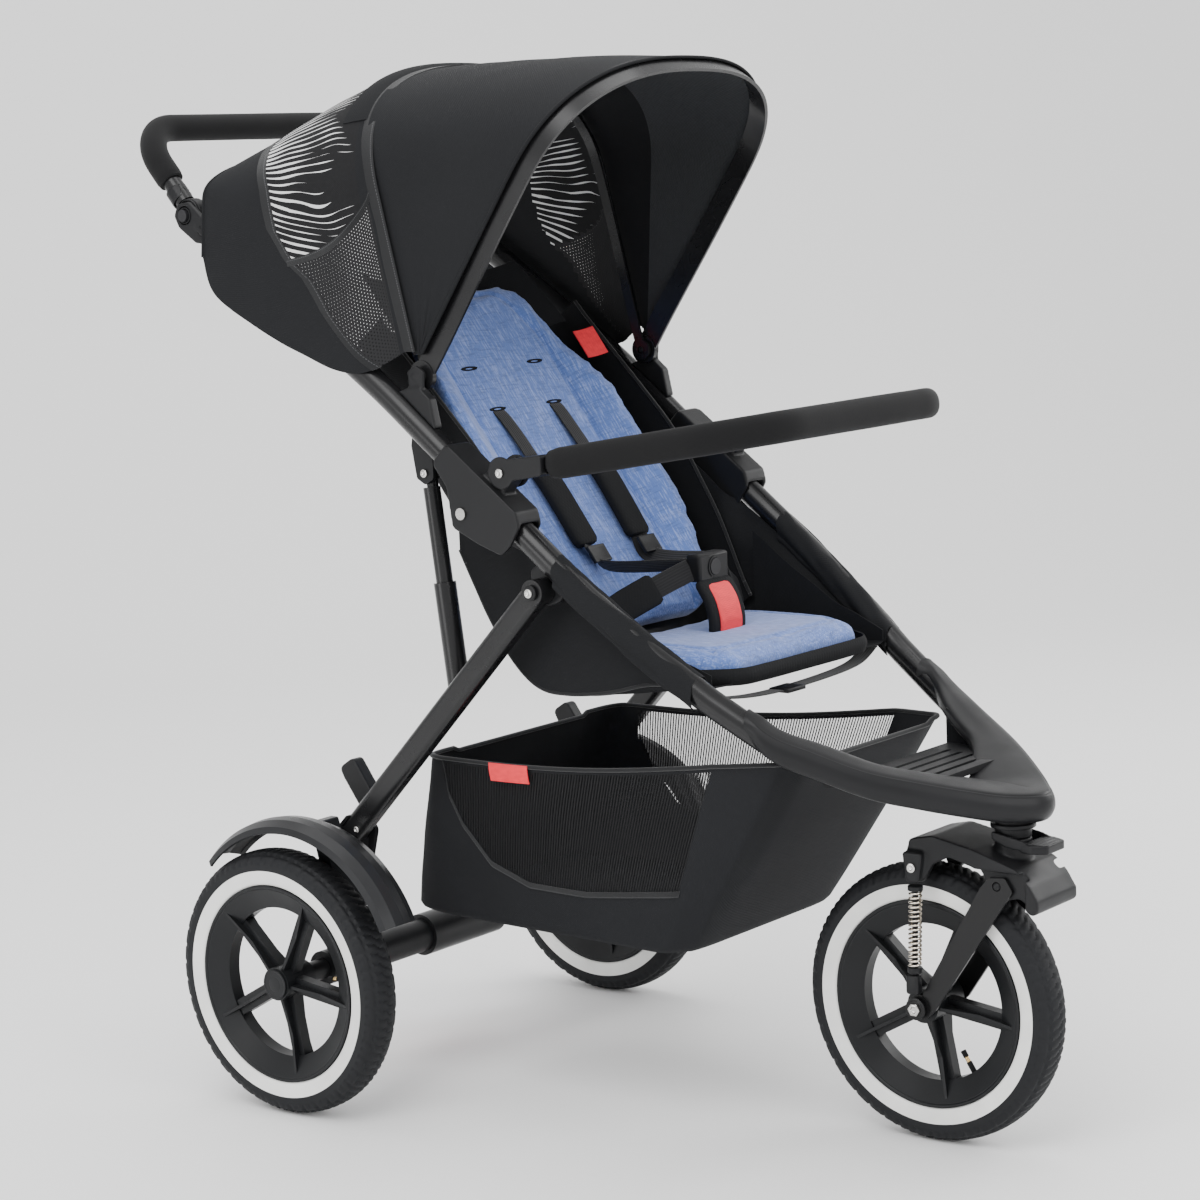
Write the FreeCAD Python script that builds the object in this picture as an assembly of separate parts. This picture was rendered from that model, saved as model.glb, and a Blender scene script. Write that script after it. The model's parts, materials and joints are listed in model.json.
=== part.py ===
"""Three-wheeled all-terrain pushchair with a swivel front wheel and a folding frame.

Millimetres, +Z up, the front points along -Y and X runs across the chair.
The origin is on the floor, under the middle of the chair's outer box.
"""

import math
import os

import FreeCAD
import Part

V = FreeCAD.Vector
X_AXIS = V(1, 0, 0)
SIDES = {"left": 1, "right": -1}

# wheels
WHEEL_R = 152.5
TYRE_HALF = 23.0
RIM_R = 112.8
RIM_HALF = 19.5
DISH_R = 86.0
HUB_R = 19.0
SPOKES = 5
AXLE_R = 6.0
RUNNING = 0.06
FRONT_AXLE = (-395.0, WHEEL_R)
REAR_AXLE = (284.3, WHEEL_R)
REAR_WHEEL_X = 292.7
FRONT_HUB_HALF = 27.0
REAR_HUB_IN = 268.0
REAR_HUB_OUT = 313.0

# frame tubes
RAIL_R = 14.5
RAIL_WALL = 2.0
RAIL_X = 212.0
UPPER_BENDS = [0, 900, 0]
LOWER_BENDS = [0, 180, 250, 250, 200, 170, 150, 0]
FOLD_PIVOT = (43.1, 688.1)
HANDLE_PIVOT = (445.0, 1017.0)
LEG_X = 221.0
LEG_HALF = 11.0
LEG_DEPTH = 14.0
LEG_PIVOT = (-50.0, 607.0)
STRUT_X = 195.0
STRUT_R = 9.5
SLEEVE_R = 12.5
STRUT_TOP = (118.0, 727.0)
STRUT_END = (90.0, 486.0)
HANDLE_R = 11.0
GRIP_R = 15.5
GRIP_START = 70.0
HANDLE_DEG = 49.0
HANDLE_BENDS = [0, 60, 60, 60, 60, 0]

# front fork
STEER_Y = -495.0
ARM_PIVOT = (-494.0, 296.0)
ARM_X = 35.0

# canopy and bumper bar
CANOPY_PIVOT = (115.2, 834.0)
CANOPY_X = 203.0
BOW_TOP = 399.0
BOW_FRONT_DEG = 125.2
BOW_MID_DEG = 76.0
BOW_WIDTH = 26.0
BUMPER_PIVOT = (-9.8, 733.1)
BUMPER_R = 15.0
BUMPER_TUBE_R = 9.0
BUMPER_BENDS = [0, 100, 70, 70, 70, 70, 100, 0]

# seat
SEAT_HINGE = (-34.0, 512.0)
SEAT_DEG = 54.4

# how square the canopy's arches are, and the number of steps along each
ARCH_POWER = 0.8
ARCH_STEPS = 14

# fits: clear of a part of another body, and snug on a part of the same body
GAP = 0.5
SNUG = 0.02

# the middle of the outer box along Y, which becomes the origin
CENTRE_Y = 0.651


def point(x, yz):
    return V(x, yz[0], yz[1])


def polar(origin, degrees, distance):
    """A (y, z) point at a distance and angle from another, measured from +Y towards +Z."""
    a = math.radians(degrees)
    return (origin[0] + distance * math.cos(a), origin[1] + distance * math.sin(a))


def box(low, high):
    size = [high[i] - low[i] for i in range(3)]
    return Part.makeBox(*size, V(*low))


def disc(yz, x0, x1, radius):
    """A round disc or pin along X."""
    return Part.makeCylinder(radius, abs(x1 - x0), point(min(x0, x1), yz), X_AXIS)


def mirrored(shape):
    return shape.mirror(V(0, 0, 0), X_AXIS)


def both(shape):
    """The shape and its mirror image on the other side."""
    return Part.makeCompound([shape, mirrored(shape)])


def fused(shapes):
    body = shapes[0]
    for shape in shapes[1:]:
        body = body.fuse(shape)
    return body.removeSplitter()


def rounded_edges(points, radius, closed=False):
    """Straight runs through the points with an arc of the radius at each turn."""
    count = len(points)
    ends = []
    arcs = []
    for i, here in enumerate(points):
        back = points[i - 1] - here
        ahead = points[(i + 1) % count] - here
        turn = math.pi - back.getAngle(ahead)
        r = radius[i] if isinstance(radius, (list, tuple)) else radius
        if turn < 1e-3 or r == 0 or (not closed and i in (0, count - 1)):
            ends.append((here, here))
            arcs.append(None)
            continue
        reach = r * math.tan(turn / 2)
        reach = min(reach, 0.49 * back.Length, 0.49 * ahead.Length)
        r = reach / math.tan(turn / 2)
        u = V(back).normalize()
        w = V(ahead).normalize()
        start = here + u * reach
        stop = here + w * reach
        middle = (u + w).normalize()
        depth = r / math.cos(turn / 2) - r
        ends.append((start, stop))
        arcs.append(Part.Arc(start, here + middle * depth, stop).toShape())
    edges = []
    for i in range(count if closed else count - 1):
        if arcs[i]:
            edges.append(arcs[i])
        start = ends[i][1]
        stop = ends[(i + 1) % count][0]
        if start.distanceToPoint(stop) > 1e-4:
            edges.append(Part.makeLine(start, stop))
    return edges


def swept(points, bend, section_radius):
    """A round bar along a path with rounded turns."""
    path = Part.Wire(rounded_edges(points, bend))
    along = points[1] - points[0]
    ring = Part.Wire(Part.makeCircle(section_radius, points[0], along))
    return path.makePipeShell([ring], True, False)


def tube(points, bend, radius, wall):
    return swept(points, bend, radius).cut(swept(points, bend, radius - wall))


def plate(outline, x0, x1, corner=0.0):
    """A side-view outline of (y, z) points, cut from a plate between two X planes."""
    corners = [point(x0, p) for p in outline]
    edges = rounded_edges(corners, corner, True) if corner else None
    wire = Part.Wire(edges) if edges else Part.makePolygon(corners + [corners[0]])
    return Part.Face(wire).extrude(V(x1 - x0, 0, 0))


def flat_plate(outline, z0, z1, corner=0.0):
    """A top-view outline of (x, y) points, cut from a plate between two heights."""
    corners = [V(p[0], p[1], z0) for p in outline]
    edges = rounded_edges(corners, corner, True) if corner else None
    wire = Part.Wire(edges) if edges else Part.makePolygon(corners + [corners[0]])
    return Part.Face(wire).extrude(V(0, 0, z1 - z0))


def turned(profile, centre, x=0.0):
    """A ring from (x, radius) points, turned about the X axis through a centre."""
    corners = [V(x + p[0], centre[0], centre[1] + p[1]) for p in profile]
    face = Part.Face(Part.makePolygon(corners + [corners[0]]))
    return face.revolve(point(x, centre), X_AXIS, 360)


def arch_band(base, top, half, wall, straight=0.55):
    """An arch-shaped strip between a base line and a top point, as one closed wire.

    The sides run straight up for that share of the height before they bend over.
    """
    rise = V(0, top[0] - base[0], top[1] - base[1])
    height = rise.Length
    rise.normalize()
    foot = point(0, base)

    def arch(w, h):
        side = h * straight
        points = [foot + X_AXIS * w, foot + X_AXIS * w + rise * side * 0.5]
        for i in range(ARCH_STEPS + 1):
            a = math.pi * i / ARCH_STEPS
            across = w * math.copysign(abs(math.cos(a)) ** ARCH_POWER, math.cos(a))
            up = side + (h - side) * math.sin(a) ** ARCH_POWER
            points.append(foot + X_AXIS * across + rise * up)
        points.append(foot - X_AXIS * w + rise * side * 0.5)
        points.append(foot - X_AXIS * w)
        return points

    outer = arch(half, height)
    inner = arch(half - wall, height - wall)
    curve_out = Part.BSplineCurve()
    curve_out.interpolate(outer)
    curve_in = Part.BSplineCurve()
    curve_in.interpolate(inner)
    return Part.Wire([
        curve_out.toShape(),
        Part.makeLine(outer[-1], inner[-1]),
        curve_in.toShape(),
        Part.makeLine(inner[0], outer[0]),
    ])


# ---------------------------------------------------------------- wheels

def tyre(x, centre):
    """Ring of rubber with a rounded tread, open to the rim on its inside."""
    half = [(-17.0, 113.0), (-19.8, 116.5), (-21.2, 124.0), (-22.6, 131.0), (-TYRE_HALF, 138.0)]
    half += [(-20.5, 145.0), (-14.5, 150.2), (-7.0, 152.2)]
    outer = half + [(0.0, WHEEL_R)] + [(-p[0], p[1]) for p in reversed(half)]
    hollow = [(-11.0, 113.0), (-15.5, 119.0), (-18.0, 132.0), (-14.0, 143.0), (0.0, 147.0)]
    inner = hollow + [(-p[0], p[1]) for p in reversed(hollow[:-1])]
    return turned(outer + list(reversed(inner)), centre, x)


def rim(x, centre, hub_in, hub_out):
    """Moulded rim: a V-shaped ring, five ribbed spokes and a bored hub."""
    ring = [(-RIM_HALF, RIM_R), (RIM_HALF, RIM_R), (RIM_HALF, 108.5), (8.0, DISH_R)]
    ring += [(-8.0, DISH_R), (-RIM_HALF, 108.5)]
    parts = [turned(ring, centre, x), disc(centre, hub_in, hub_out, HUB_R)]
    hub_side = min(hub_out - x, x - hub_in) - 3.0
    hub_side = max(hub_side, 14.0)
    rib = [(HUB_R - 3, hub_side), (60.0, 11.5), (105.0, 17.5), (DISH_R + 2, 5.0), (HUB_R - 3, 5.0)]
    for i in range(SPOKES):
        angle = 90 + 7 + 360 * i / SPOKES
        spoke = box((x - 6.5, -9.0, HUB_R - 4), (x + 6.5, 9.0, DISH_R + 3))
        fins = []
        for side in (1, -1):
            corners = [V(x + side * p[1], -1.8, p[0]) for p in rib]
            fin = Part.Face(Part.makePolygon(corners + [corners[0]]))
            fins.append(fin.extrude(V(0, 3.6, 0)))
        arm = fused([spoke] + fins)
        arm.rotate(V(0, 0, 0), X_AXIS, angle)
        arm.translate(point(0, centre))
        parts.append(arm)
    body = fused(parts)
    return body.cut(disc(centre, hub_in - 1, hub_out + 1, AXLE_R + RUNNING))


def hub_cap(side):
    """Push-on cap that closes the rear hub's outer end."""
    cap = disc(REAR_AXLE, REAR_HUB_OUT, REAR_HUB_OUT + 2.4, HUB_R - 4.0)
    return cap if side > 0 else mirrored(cap)


def mudguard(side):
    """Domed guard on an arc about a point ahead of and above the rear axle."""
    centre = (262.0, 173.0)
    x0 = REAR_WHEEL_X - 32.0
    x1 = REAR_WHEEL_X + 22.6
    dome = [(x0, 157.0), (x0 + 3, 163.5), (x0 + 16, 169.0), (x0 + 28, 170.5), (x1 - 14, 169.0)]
    dome += [(x1 - 3, 163.0), (x1, 156.0)]
    under = [(p[0], p[1] - 3.0) for p in reversed(dome)]
    under[0] = (x1 - 2.5, 155.0)
    under[-1] = (x0 + 2.5, 156.0)
    corners = [V(p[0], centre[0], centre[1] + p[1]) for p in dome + under]
    face = Part.Face(Part.makePolygon(corners + [corners[0]]))
    guard = face.revolve(point(0, centre), X_AXIS, -114)
    guard.rotate(point(0, centre), X_AXIS, 67)
    stay = plate([(250.0, 334.0), (264.0, 334.0), (238.0, 230.0), (216.0, 230.0)],
                 LEG_X + LEG_HALF + GAP, x0 + 4.0, 3.0)
    whole = fused([guard, stay])
    return whole if side > 0 else mirrored(whole)


# ---------------------------------------------------------------- front frame

def lower_rail_points(side):
    track = [(209.8, 3.0, 689.0), (209.3, -110.0, 599.0), (199.0, -185.0, 542.0), (184.0, -245.0, 496.0),
             (165.0, -315.0, 450.0), (124.0, -398.0, 413.5), (62.0, -474.0, 389.5),
             (24.0, -505.0, 380.0)]
    return [V(side * p[0], p[1], p[2]) for p in track]


def lower_rail(side):
    """Tube from the fold joint down under the seat to the nose."""
    return tube(lower_rail_points(side), LOWER_BENDS, RAIL_R, RAIL_WALL)


def upper_rail_points(side):
    track = [(213.0, HANDLE_PIVOT[0] - 22, HANDLE_PIVOT[1] - 15.5), (213.6, 160.0, 817.0),
             (211.0, 27.0, 708.5)]
    return [V(side * p[0], p[1], p[2]) for p in track]


def upper_rail(side):
    """Tube from the fold joint up to the handlebar's fork."""
    return tube(upper_rail_points(side), UPPER_BENDS, RAIL_R, RAIL_WALL)


def upper_rail_core(radius):
    return swept(upper_rail_points(1), UPPER_BENDS, radius)


def lower_rail_core(radius):
    return swept(lower_rail_points(1), LOWER_BENDS, radius)


def nose_housing():
    """Moulded nose that the two rails run into, with the steering head under it."""
    half = [(118.0, -424.0), (98.0, -462.0), (70.0, -500.0), (34.0, -533.0)]
    rim_line = half + [(0.0, -543.0)] + [(-x, y) for x, y in reversed(half)]
    rim_line += [(-70.0, -449.0), (70.0, -449.0)]
    shell = flat_plate(rim_line, 360.0, 399.0, 16.0)
    top_edges = [e for e in shell.Edges if e.BoundBox.ZMin > 398.9 and e.BoundBox.YMax < -425]
    shell = shell.makeFillet(6.0, top_edges)
    core = lower_rail_core(RAIL_R + SNUG)
    head = Part.makeCylinder(19.0, 40.0, V(0, STEER_Y, 344.0))
    body = fused([shell, head]).cut(core).cut(mirrored(core))
    return body.cut(Part.makeCylinder(8.0 + RUNNING, 34.0, V(0, STEER_Y, 340.0)))


def footrest():
    """Slotted tread between the rails, with a low wall along each side."""
    tread = flat_plate([(112.0, -352.0), (84.0, -446.0), (-84.0, -446.0), (-112.0, -352.0)],
                       404.0, 411.0, 8.0)
    for i in range(4):
        y = -372.0 - 18.0 * i
        half = 74.0 - 5.0 * i
        tread = tread.cut(flat_plate([(half, y), (half, y - 6), (-half, y - 6), (-half, y)],
                                     400.0, 415.0, 2.8))
    wall = flat_plate([(126.0, -344.0), (88.0, -428.0), (84.0, -426.0), (121.0, -342.0)], 404.0, 450.0)
    ramp = plate([(-340.0, 448.0), (-340.0, 470.0), (-450.0, 470.0), (-450.0, 404.0), (-430.0, 411.0)],
                 0.0, 200.0)
    wall = wall.cut(ramp).cut(lower_rail_core(RAIL_R + SNUG))
    body = fused([tread, wall, mirrored(wall)])
    core = lower_rail_core(RAIL_R + SNUG)
    return body.cut(core).cut(mirrored(core))


def leg_brackets():
    """Clamp under each lower rail, with the pin that the rear leg turns on."""
    y, z = LEG_PIVOT
    lug = plate([(y - 34, z + 6), (y - 6, z + 40), (y + 20, z + 20), (y + 17, z - 8), (y - 4, z - 18),
                 (y - 20, z - 12)], 197.0, LEG_X - LEG_HALF - GAP, 8.0)
    lug = lug.cut(lower_rail_core(RAIL_R + SNUG))
    pin = disc(LEG_PIVOT, 196.0, LEG_X + LEG_HALF + 4.0, 5.0)
    head = disc(LEG_PIVOT, LEG_X + LEG_HALF + 0.6, LEG_X + LEG_HALF + 5.0, 9.0)
    return both(fused([lug, pin, head]))


def seat_sling():
    """Fabric trough that hangs between the lower rails under the seat."""
    rows = [(-232.0, 500.0, 516.0, 166.0), (-165.0, 498.0, 545.0, 176.0), (-95.0, 490.0, 588.0, 180.0),
            (-20.0, 487.0, 640.0, 180.0)]
    wires = []
    for y, low, high, half in rows:
        wall = 2.5
        outer = [V(half, y, high), V(half - 2, y, low + 22), V(half - 14, y, low), V(-half + 14, y, low),
                 V(-half + 2, y, low + 22), V(-half, y, high)]
        inner = [V(half - wall, y, high), V(half - 2 - wall, y, low + 23), V(half - 15, y, low + wall),
                 V(-half + 15, y, low + wall), V(-half + 2 + wall, y, low + 23), V(-half + wall, y, high)]
        wires.append(Part.makePolygon(outer + list(reversed(inner)) + [outer[0]]))
    return Part.makeLoft(wires, True, True)


def seat_base_pad():
    """Seat cushion, lower at the back where it meets the backrest."""
    side = [(-236.0, 506.0), (-236.0, 524.0), (-222.0, 533.0), (-52.0, 534.0), (-50.0, 508.0)]
    pad = plate(side, -150.0, 150.0, 7.0)
    front = flat_plate([(150.0, -40.0), (150.0, -190.0), (118.0, -240.0), (-118.0, -240.0),
                        (-150.0, -190.0), (-150.0, -40.0)], 480.0, 560.0, 30.0)
    return pad.common(front)


def crotch_strap():
    """Padded strap between the legs, up to the buckle."""
    side = [(-128.0, 534.6), (-120.0, 534.6), (-116.0, 560.0), (-104.0, 588.0), (-112.0, 592.0),
            (-126.0, 566.0)]
    return plate(side, -26.0, 26.0, 3.0)


def harness_buckle():
    """Harness buckle with a well for its push button."""
    body = box((-27.0, -122.0, 593.0), (27.0, -102.0, 625.0))
    body = body.makeFillet(5.0, body.Edges)
    return body.cut(Part.makeCylinder(9.5, 9.0, V(0, -122.5, 609.0), V(0, 1, 0)))


def buckle_button():
    """Round release button in the buckle's front."""
    return Part.makeCylinder(9.3, 7.0, V(0, -124.5, 609.0), V(0, 1, 0))


def basket():
    """Shopping basket: a tapered fabric tub, open at the top."""
    wall = 2.5
    rim_line = [(152.0, -322.0), (180.0, -240.0), (180.0, 150.0), (170.0, 164.0)]
    base_line = [(128.0, -174.0), (158.0, -150.0), (166.0, 150.0), (160.0, 214.0)]

    def loop(line, inset):
        half = [(x - inset, y + inset if y < 0 else y - inset) for x, y in line]
        return half + [(-x, y) for x, y in reversed(half)]

    def tub(inset, base_z, rim_z):
        bottom = [V(x, y, base_z + 0.03 * (y + 174.0)) for x, y in loop(base_line, inset)]
        top = [V(x, y, rim_z + 0.06 * (164.0 - y)) for x, y in loop(rim_line, inset)]
        wires = [Part.makePolygon(w + [w[0]]) for w in (bottom, top)]
        return Part.makeLoft(wires, True, True)

    return tub(0.0, 207.0, 402.0).cut(tub(wall, 207.0 + wall, 403.0))


# ---------------------------------------------------------------- upper frame

def fold_housing(side):
    """Moulded joint: a collar on the upper rail, a socket over the lower rail and a skirt."""
    outline = [(62.0, 764.0), (84.0, 742.0), (64.0, 716.0), (58.0, 672.0), (22.0, 655.0),
               (-10.0, 644.0), (-22.0, 654.0), (-36.0, 676.0), (-32.0, 692.0)]
    cheek_out = plate(outline, RAIL_X + RAIL_R - 1.0, RAIL_X + RAIL_R + 5.0, 8.0)
    cheek_in = plate(outline, RAIL_X - RAIL_R - 7.0, RAIL_X - RAIL_R - 2.8, 8.0)
    cap = plate([(62.0, 764.0), (84.0, 742.0), (77.0, 733.0), (50.0, 745.0), (-26.0, 680.0),
                 (-36.0, 676.0), (-32.0, 692.0)], RAIL_X - RAIL_R - 3.0, RAIL_X + RAIL_R, 3.0)
    collar = Part.makeCylinder(RAIL_R + 4.0, 34.0, V(212.5, 34.0, 714.3), V(0.012, 0.776, 0.630))
    knob = disc(BUMPER_PIVOT, RAIL_X - 11.0, RAIL_X + 11.0, 14.0)
    neck = plate([(-20.0, 722.0), (4.0, 741.0), (30.0, 722.0), (0.0, 700.0)],
                 RAIL_X - 10.0, RAIL_X + 10.0)
    body = fused([cheek_out, cheek_in, cap, collar, neck, knob])
    body = body.cut(upper_rail_core(RAIL_R + SNUG)).cut(lower_rail_core(RAIL_R + 0.6))
    body = body.cut(disc(BUMPER_PIVOT, 180.0, 240.0, 5.0 + RUNNING))
    body = body.cut(disc(FOLD_PIVOT, 180.0, 240.0, 4.0))
    return body if side > 0 else mirrored(body)


def lower_rail_ends():
    """Plug in the top of each lower rail, with the eye that turns on the fold screw."""
    eye = disc(FOLD_PIVOT, RAIL_X - 11.0, RAIL_X + 11.0, 11.0)
    web = plate([(3.0, 694.0), (-12.0, 677.0), (36.0, 679.0), (38.0, 691.0), (20.0, 697.0)],
                RAIL_X - 9.0, RAIL_X + 9.0)
    body = fused([eye, web])
    body = body.cut(disc(FOLD_PIVOT, 180.0, 240.0, 4.0 + RUNNING))
    return both(body.cut(lower_rail_core(RAIL_R + 0.01)))


def fold_screws():
    """Screw that each upper rail folds on."""
    shank = disc(FOLD_PIVOT, RAIL_X - RAIL_R - 7.0, RAIL_X + RAIL_R + 6.0, 3.98)
    head = disc(FOLD_PIVOT, RAIL_X + RAIL_R + 5.05, RAIL_X + RAIL_R + 7.5, 6.5)
    return both(fused([shank, head]))


def strut_plates():
    """Lug under each upper rail that the strut hangs from."""
    y, z = STRUT_TOP
    lug = plate([(y - 12, z - 6), (y - 12, z + 30), (y + 14, z + 52), (y + 18, z + 30), (y + 12, z - 6),
                 (y, z - 13)], STRUT_X + 3.0, STRUT_X + 8.0, 5.0)
    lug = lug.cut(upper_rail_core(RAIL_R + SNUG))
    pin = disc(STRUT_TOP, STRUT_X - 9.0, STRUT_X + 8.5, 4.0)
    return both(fused([lug, pin]))


def canopy_clips():
    """Snap-on mounts on the upper rails that carry the canopy's pivots."""
    y, z = CANOPY_PIVOT
    pad = plate([(y - 30, z - 62), (y - 22, z - 24), (y - 8, z - 12), (y + 10, z - 12), (y + 30, z - 18),
                 (y + 20, z - 34)], RAIL_X - 7.0, RAIL_X + 6.0, 4.0)
    stem = plate([(y - 10, z - 14), (y - 12, z + 6), (y, z + 13), (y + 12, z + 6), (y + 10, z - 14)],
                 RAIL_X - 3.0, RAIL_X + 3.0, 3.0)
    pin = disc(CANOPY_PIVOT, CANOPY_X - 11.0, RAIL_X + 4.0, 4.0)
    return both(fused([pad, stem, pin]).cut(upper_rail_core(RAIL_R + SNUG)))


def handle_forks():
    """End fitting of each upper rail that the handlebar's hub turns in."""
    y, z = HANDLE_PIVOT
    cheek = plate([(y - 34, z - 34), (y - 40, z - 12), (y - 8, z + 16), (y + 10, z + 14), (y + 17, z),
                   (y + 10, z - 14), (y - 16, z - 32)], RAIL_X - 15.0, RAIL_X - 7.0, 6.0)
    outer = cheek.copy()
    outer.translate(V(23.0, 0, 0))
    base = plate([(y - 40, z - 12), (y - 34, z - 34), (y - 26, z - 30), (y - 33, z - 8)],
                 RAIL_X - 14.5, RAIL_X + 15.5, 1.0)
    collar = Part.makeCylinder(15.6, 24.0, V(213.0, y - 36.7, z - 25.8), V(0, 0.8186, 0.5743))
    body = fused([cheek, outer, base, collar])
    body = body.cut(upper_rail_core(RAIL_R + SNUG))
    return both(body.cut(disc(HANDLE_PIVOT, 180.0, 245.0, 10.0 + RUNNING)))


# ---------------------------------------------------------------- handlebar

def handle_points():
    side = [(213.0, 455.0, 1031.0), (212.0, 508.0, 1092.0), (180.0, 530.0, 1119.0)]
    return [V(*p) for p in side] + [V(-p[0], p[1], p[2]) for p in reversed(side)]


def handle_tube():
    """Bent tube of the handlebar."""
    return tube(handle_points(), HANDLE_BENDS, HANDLE_R, 1.8)


def handle_grip():
    """Foam sleeve over most of the handlebar."""
    y, z = HANDLE_PIVOT
    bare = box((-300.0, y - 90.0, z - 90.0), (300.0, y + 90.0, z + GRIP_START))
    bare.rotate(point(0, HANDLE_PIVOT), X_AXIS, HANDLE_DEG - 90)
    foam = swept(handle_points(), HANDLE_BENDS, GRIP_R)
    bore = swept(handle_points(), HANDLE_BENDS, HANDLE_R + SNUG)
    return foam.cut(bore).cut(bare)


def handle_hubs():
    """Round hub on each end of the handlebar, between the cheeks of the rail's fork."""
    y, z = HANDLE_PIVOT
    hub = disc(HANDLE_PIVOT, RAIL_X - 6.5, RAIL_X + 7.5, 20.0)
    stem = Part.makeCylinder(13.0, 18.0, V(213.0, y + 14.4, z + 16.6), V(-0.01, 0.656, 0.755))
    neck = plate([(y - 8, z + 8), (y + 10, z + 26), (y + 26, z + 12), (y + 8, z - 8)],
                 RAIL_X - 6.5, RAIL_X + 7.5)
    axle = disc(HANDLE_PIVOT, RAIL_X - 15.0, RAIL_X + 16.0, 10.0)
    body = fused([hub, stem, neck, axle])
    body = body.cut(disc(HANDLE_PIVOT, RAIL_X + 4.0, RAIL_X + 20.0, 7.2))
    body = body.cut(swept(handle_points(), HANDLE_BENDS, HANDLE_R + SNUG))
    return both(body)


def handle_button(side):
    """Push button in the hub's outer face that frees the handlebar."""
    button = disc(HANDLE_PIVOT, RAIL_X + 9.0, RAIL_X + 18.5, 7.0)
    return button if side > 0 else mirrored(button)


# ---------------------------------------------------------------- rear legs

def rear_leg(side):
    """Flattened tube from the rail bracket down to the axle bracket."""
    top = LEG_PIVOT
    end = (247.0, 305.0)
    along = (end[0] - top[0], end[1] - top[1])
    length = math.hypot(*along)
    u = (along[0] / length, along[1] / length)
    n = (-u[1], u[0])

    def outline(half):
        return [(top[0] + n[0] * half, top[1] + n[1] * half), (end[0] + n[0] * half, end[1] + n[1] * half),
                (end[0] - n[0] * half, end[1] - n[1] * half), (top[0] - n[0] * half, top[1] - n[1] * half)]

    bar = plate(outline(LEG_DEPTH), LEG_X - LEG_HALF, LEG_X + LEG_HALF)
    long_edges = [e for e in bar.Edges if e.Length > length - 2]
    bar = bar.makeFillet(7.0, long_edges)
    bar = bar.cut(plate(outline(LEG_DEPTH - 3.2), LEG_X - LEG_HALF + 3.2, LEG_X + LEG_HALF - 3.2)
                  .common(disc(polar(top, math.degrees(math.atan2(u[1], u[0])), length / 2 + 14),
                               LEG_X - 20, LEG_X + 20, length / 2 - 8)))
    eye = disc(top, LEG_X - LEG_HALF, LEG_X + LEG_HALF, LEG_DEPTH)
    body = fused([bar, eye]).cut(disc(top, LEG_X - 20, LEG_X + 20, 5.0 + RUNNING))
    return body if side > 0 else mirrored(body)


def axle_housing():
    """Cross beam with an upright bracket at each end that holds the rear leg."""
    y, z = REAR_AXLE
    beam = Part.makeCylinder(20.0, 2 * 236.0, V(-236.0, y, z), X_AXIS)
    beam = beam.cut(Part.makeCylinder(17.0, 2 * 190.0, V(-190.0, y, z), X_AXIS))
    upright = plate([(232.0, 344.0), (266.0, 314.0), (272.0, 250.0), (304.0, 160.0), (284.0, 140.0),
                     (262.0, 160.0), (236.0, 236.0), (214.0, 318.0)],
                    LEG_X - LEG_HALF - 6.0, LEG_X - LEG_HALF - 0.05, 8.0)
    return fused([beam, upright, mirrored(upright)])


def leg_shoes():
    """Socket at the foot of each leg."""
    shoe = plate([(222.0, 330.0), (236.0, 338.0), (266.0, 308.0), (272.0, 250.0), (262.0, 172.0),
                  (246.0, 200.0), (236.0, 250.0), (226.0, 300.0)],
                 LEG_X - LEG_HALF + 0.05, LEG_X + LEG_HALF + 0.4, 5.0)
    shoe = shoe.cut(rear_leg(1)).cut(plate([(180.0, 372.0), (190.0, 380.0), (257.0, 311.0), (237.0, 292.0)],
                                           LEG_X - LEG_HALF, LEG_X + LEG_HALF + 1.0))
    return both(shoe)


def axle_pins():
    """Stub axle of each rear wheel, with its washer."""
    pin = disc(REAR_AXLE, 236.05, REAR_HUB_OUT - 4.0, AXLE_R)
    washer = disc(REAR_AXLE, 236.05, REAR_HUB_IN - 0.5, 12.0)
    return both(fused([pin, washer]))


def leg_paddles():
    """Flat rounded stops that stand up behind each leg."""
    pad = plate([(232.0, 318.0), (218.0, 352.0), (250.0, 398.0), (272.0, 384.0), (266.0, 372.0),
                 (246.0, 344.0)], 187.0, LEG_X - LEG_HALF - 6.2, 7.0)
    return both(pad)


def brake_pedal():
    """Foot pedal on a sleeve round the axle beam."""
    y, z = REAR_AXLE
    sleeve = Part.makeCylinder(25.0, 130.0, V(-65.0, y, z), X_AXIS)
    sleeve = sleeve.cut(Part.makeCylinder(20.0 + RUNNING, 130.0, V(-65.0, y, z), X_AXIS))
    arm = plate([(y + 12, z - 24), (y + 22, z - 8), (y + 62, z - 20), (y + 62, z - 32), (y + 22, z - 26)],
                -60.0, 60.0, 4.0)
    arm = arm.cut(Part.makeCylinder(20.0 + RUNNING, 130.0, V(-65.0, y, z), X_AXIS))
    return fused([sleeve, arm])


def strut(side):
    """Round strut with a slotted knuckle at the top."""
    top = point(STRUT_X, STRUT_TOP)
    foot = point(STRUT_X, STRUT_END)
    along = (foot - top).normalize()
    bar = Part.makeCylinder(STRUT_R, 226.0, top + along * 16.0, along)
    knuckle = disc(STRUT_TOP, STRUT_X - 7.0, STRUT_X + 2.5, 10.0)
    neck = Part.makeCylinder(6.5, 20.0, top + along * 2.0 - X_AXIS * 2.2, along)
    neck = neck.common(box((STRUT_X - 7.0, 0, 600), (STRUT_X + 2.5, 300, 800)))
    body = fused([bar, knuckle, neck]).cut(disc(STRUT_TOP, STRUT_X - 20, STRUT_X + 20, 4.0 + RUNNING))
    return body if side > 0 else mirrored(body)


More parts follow.
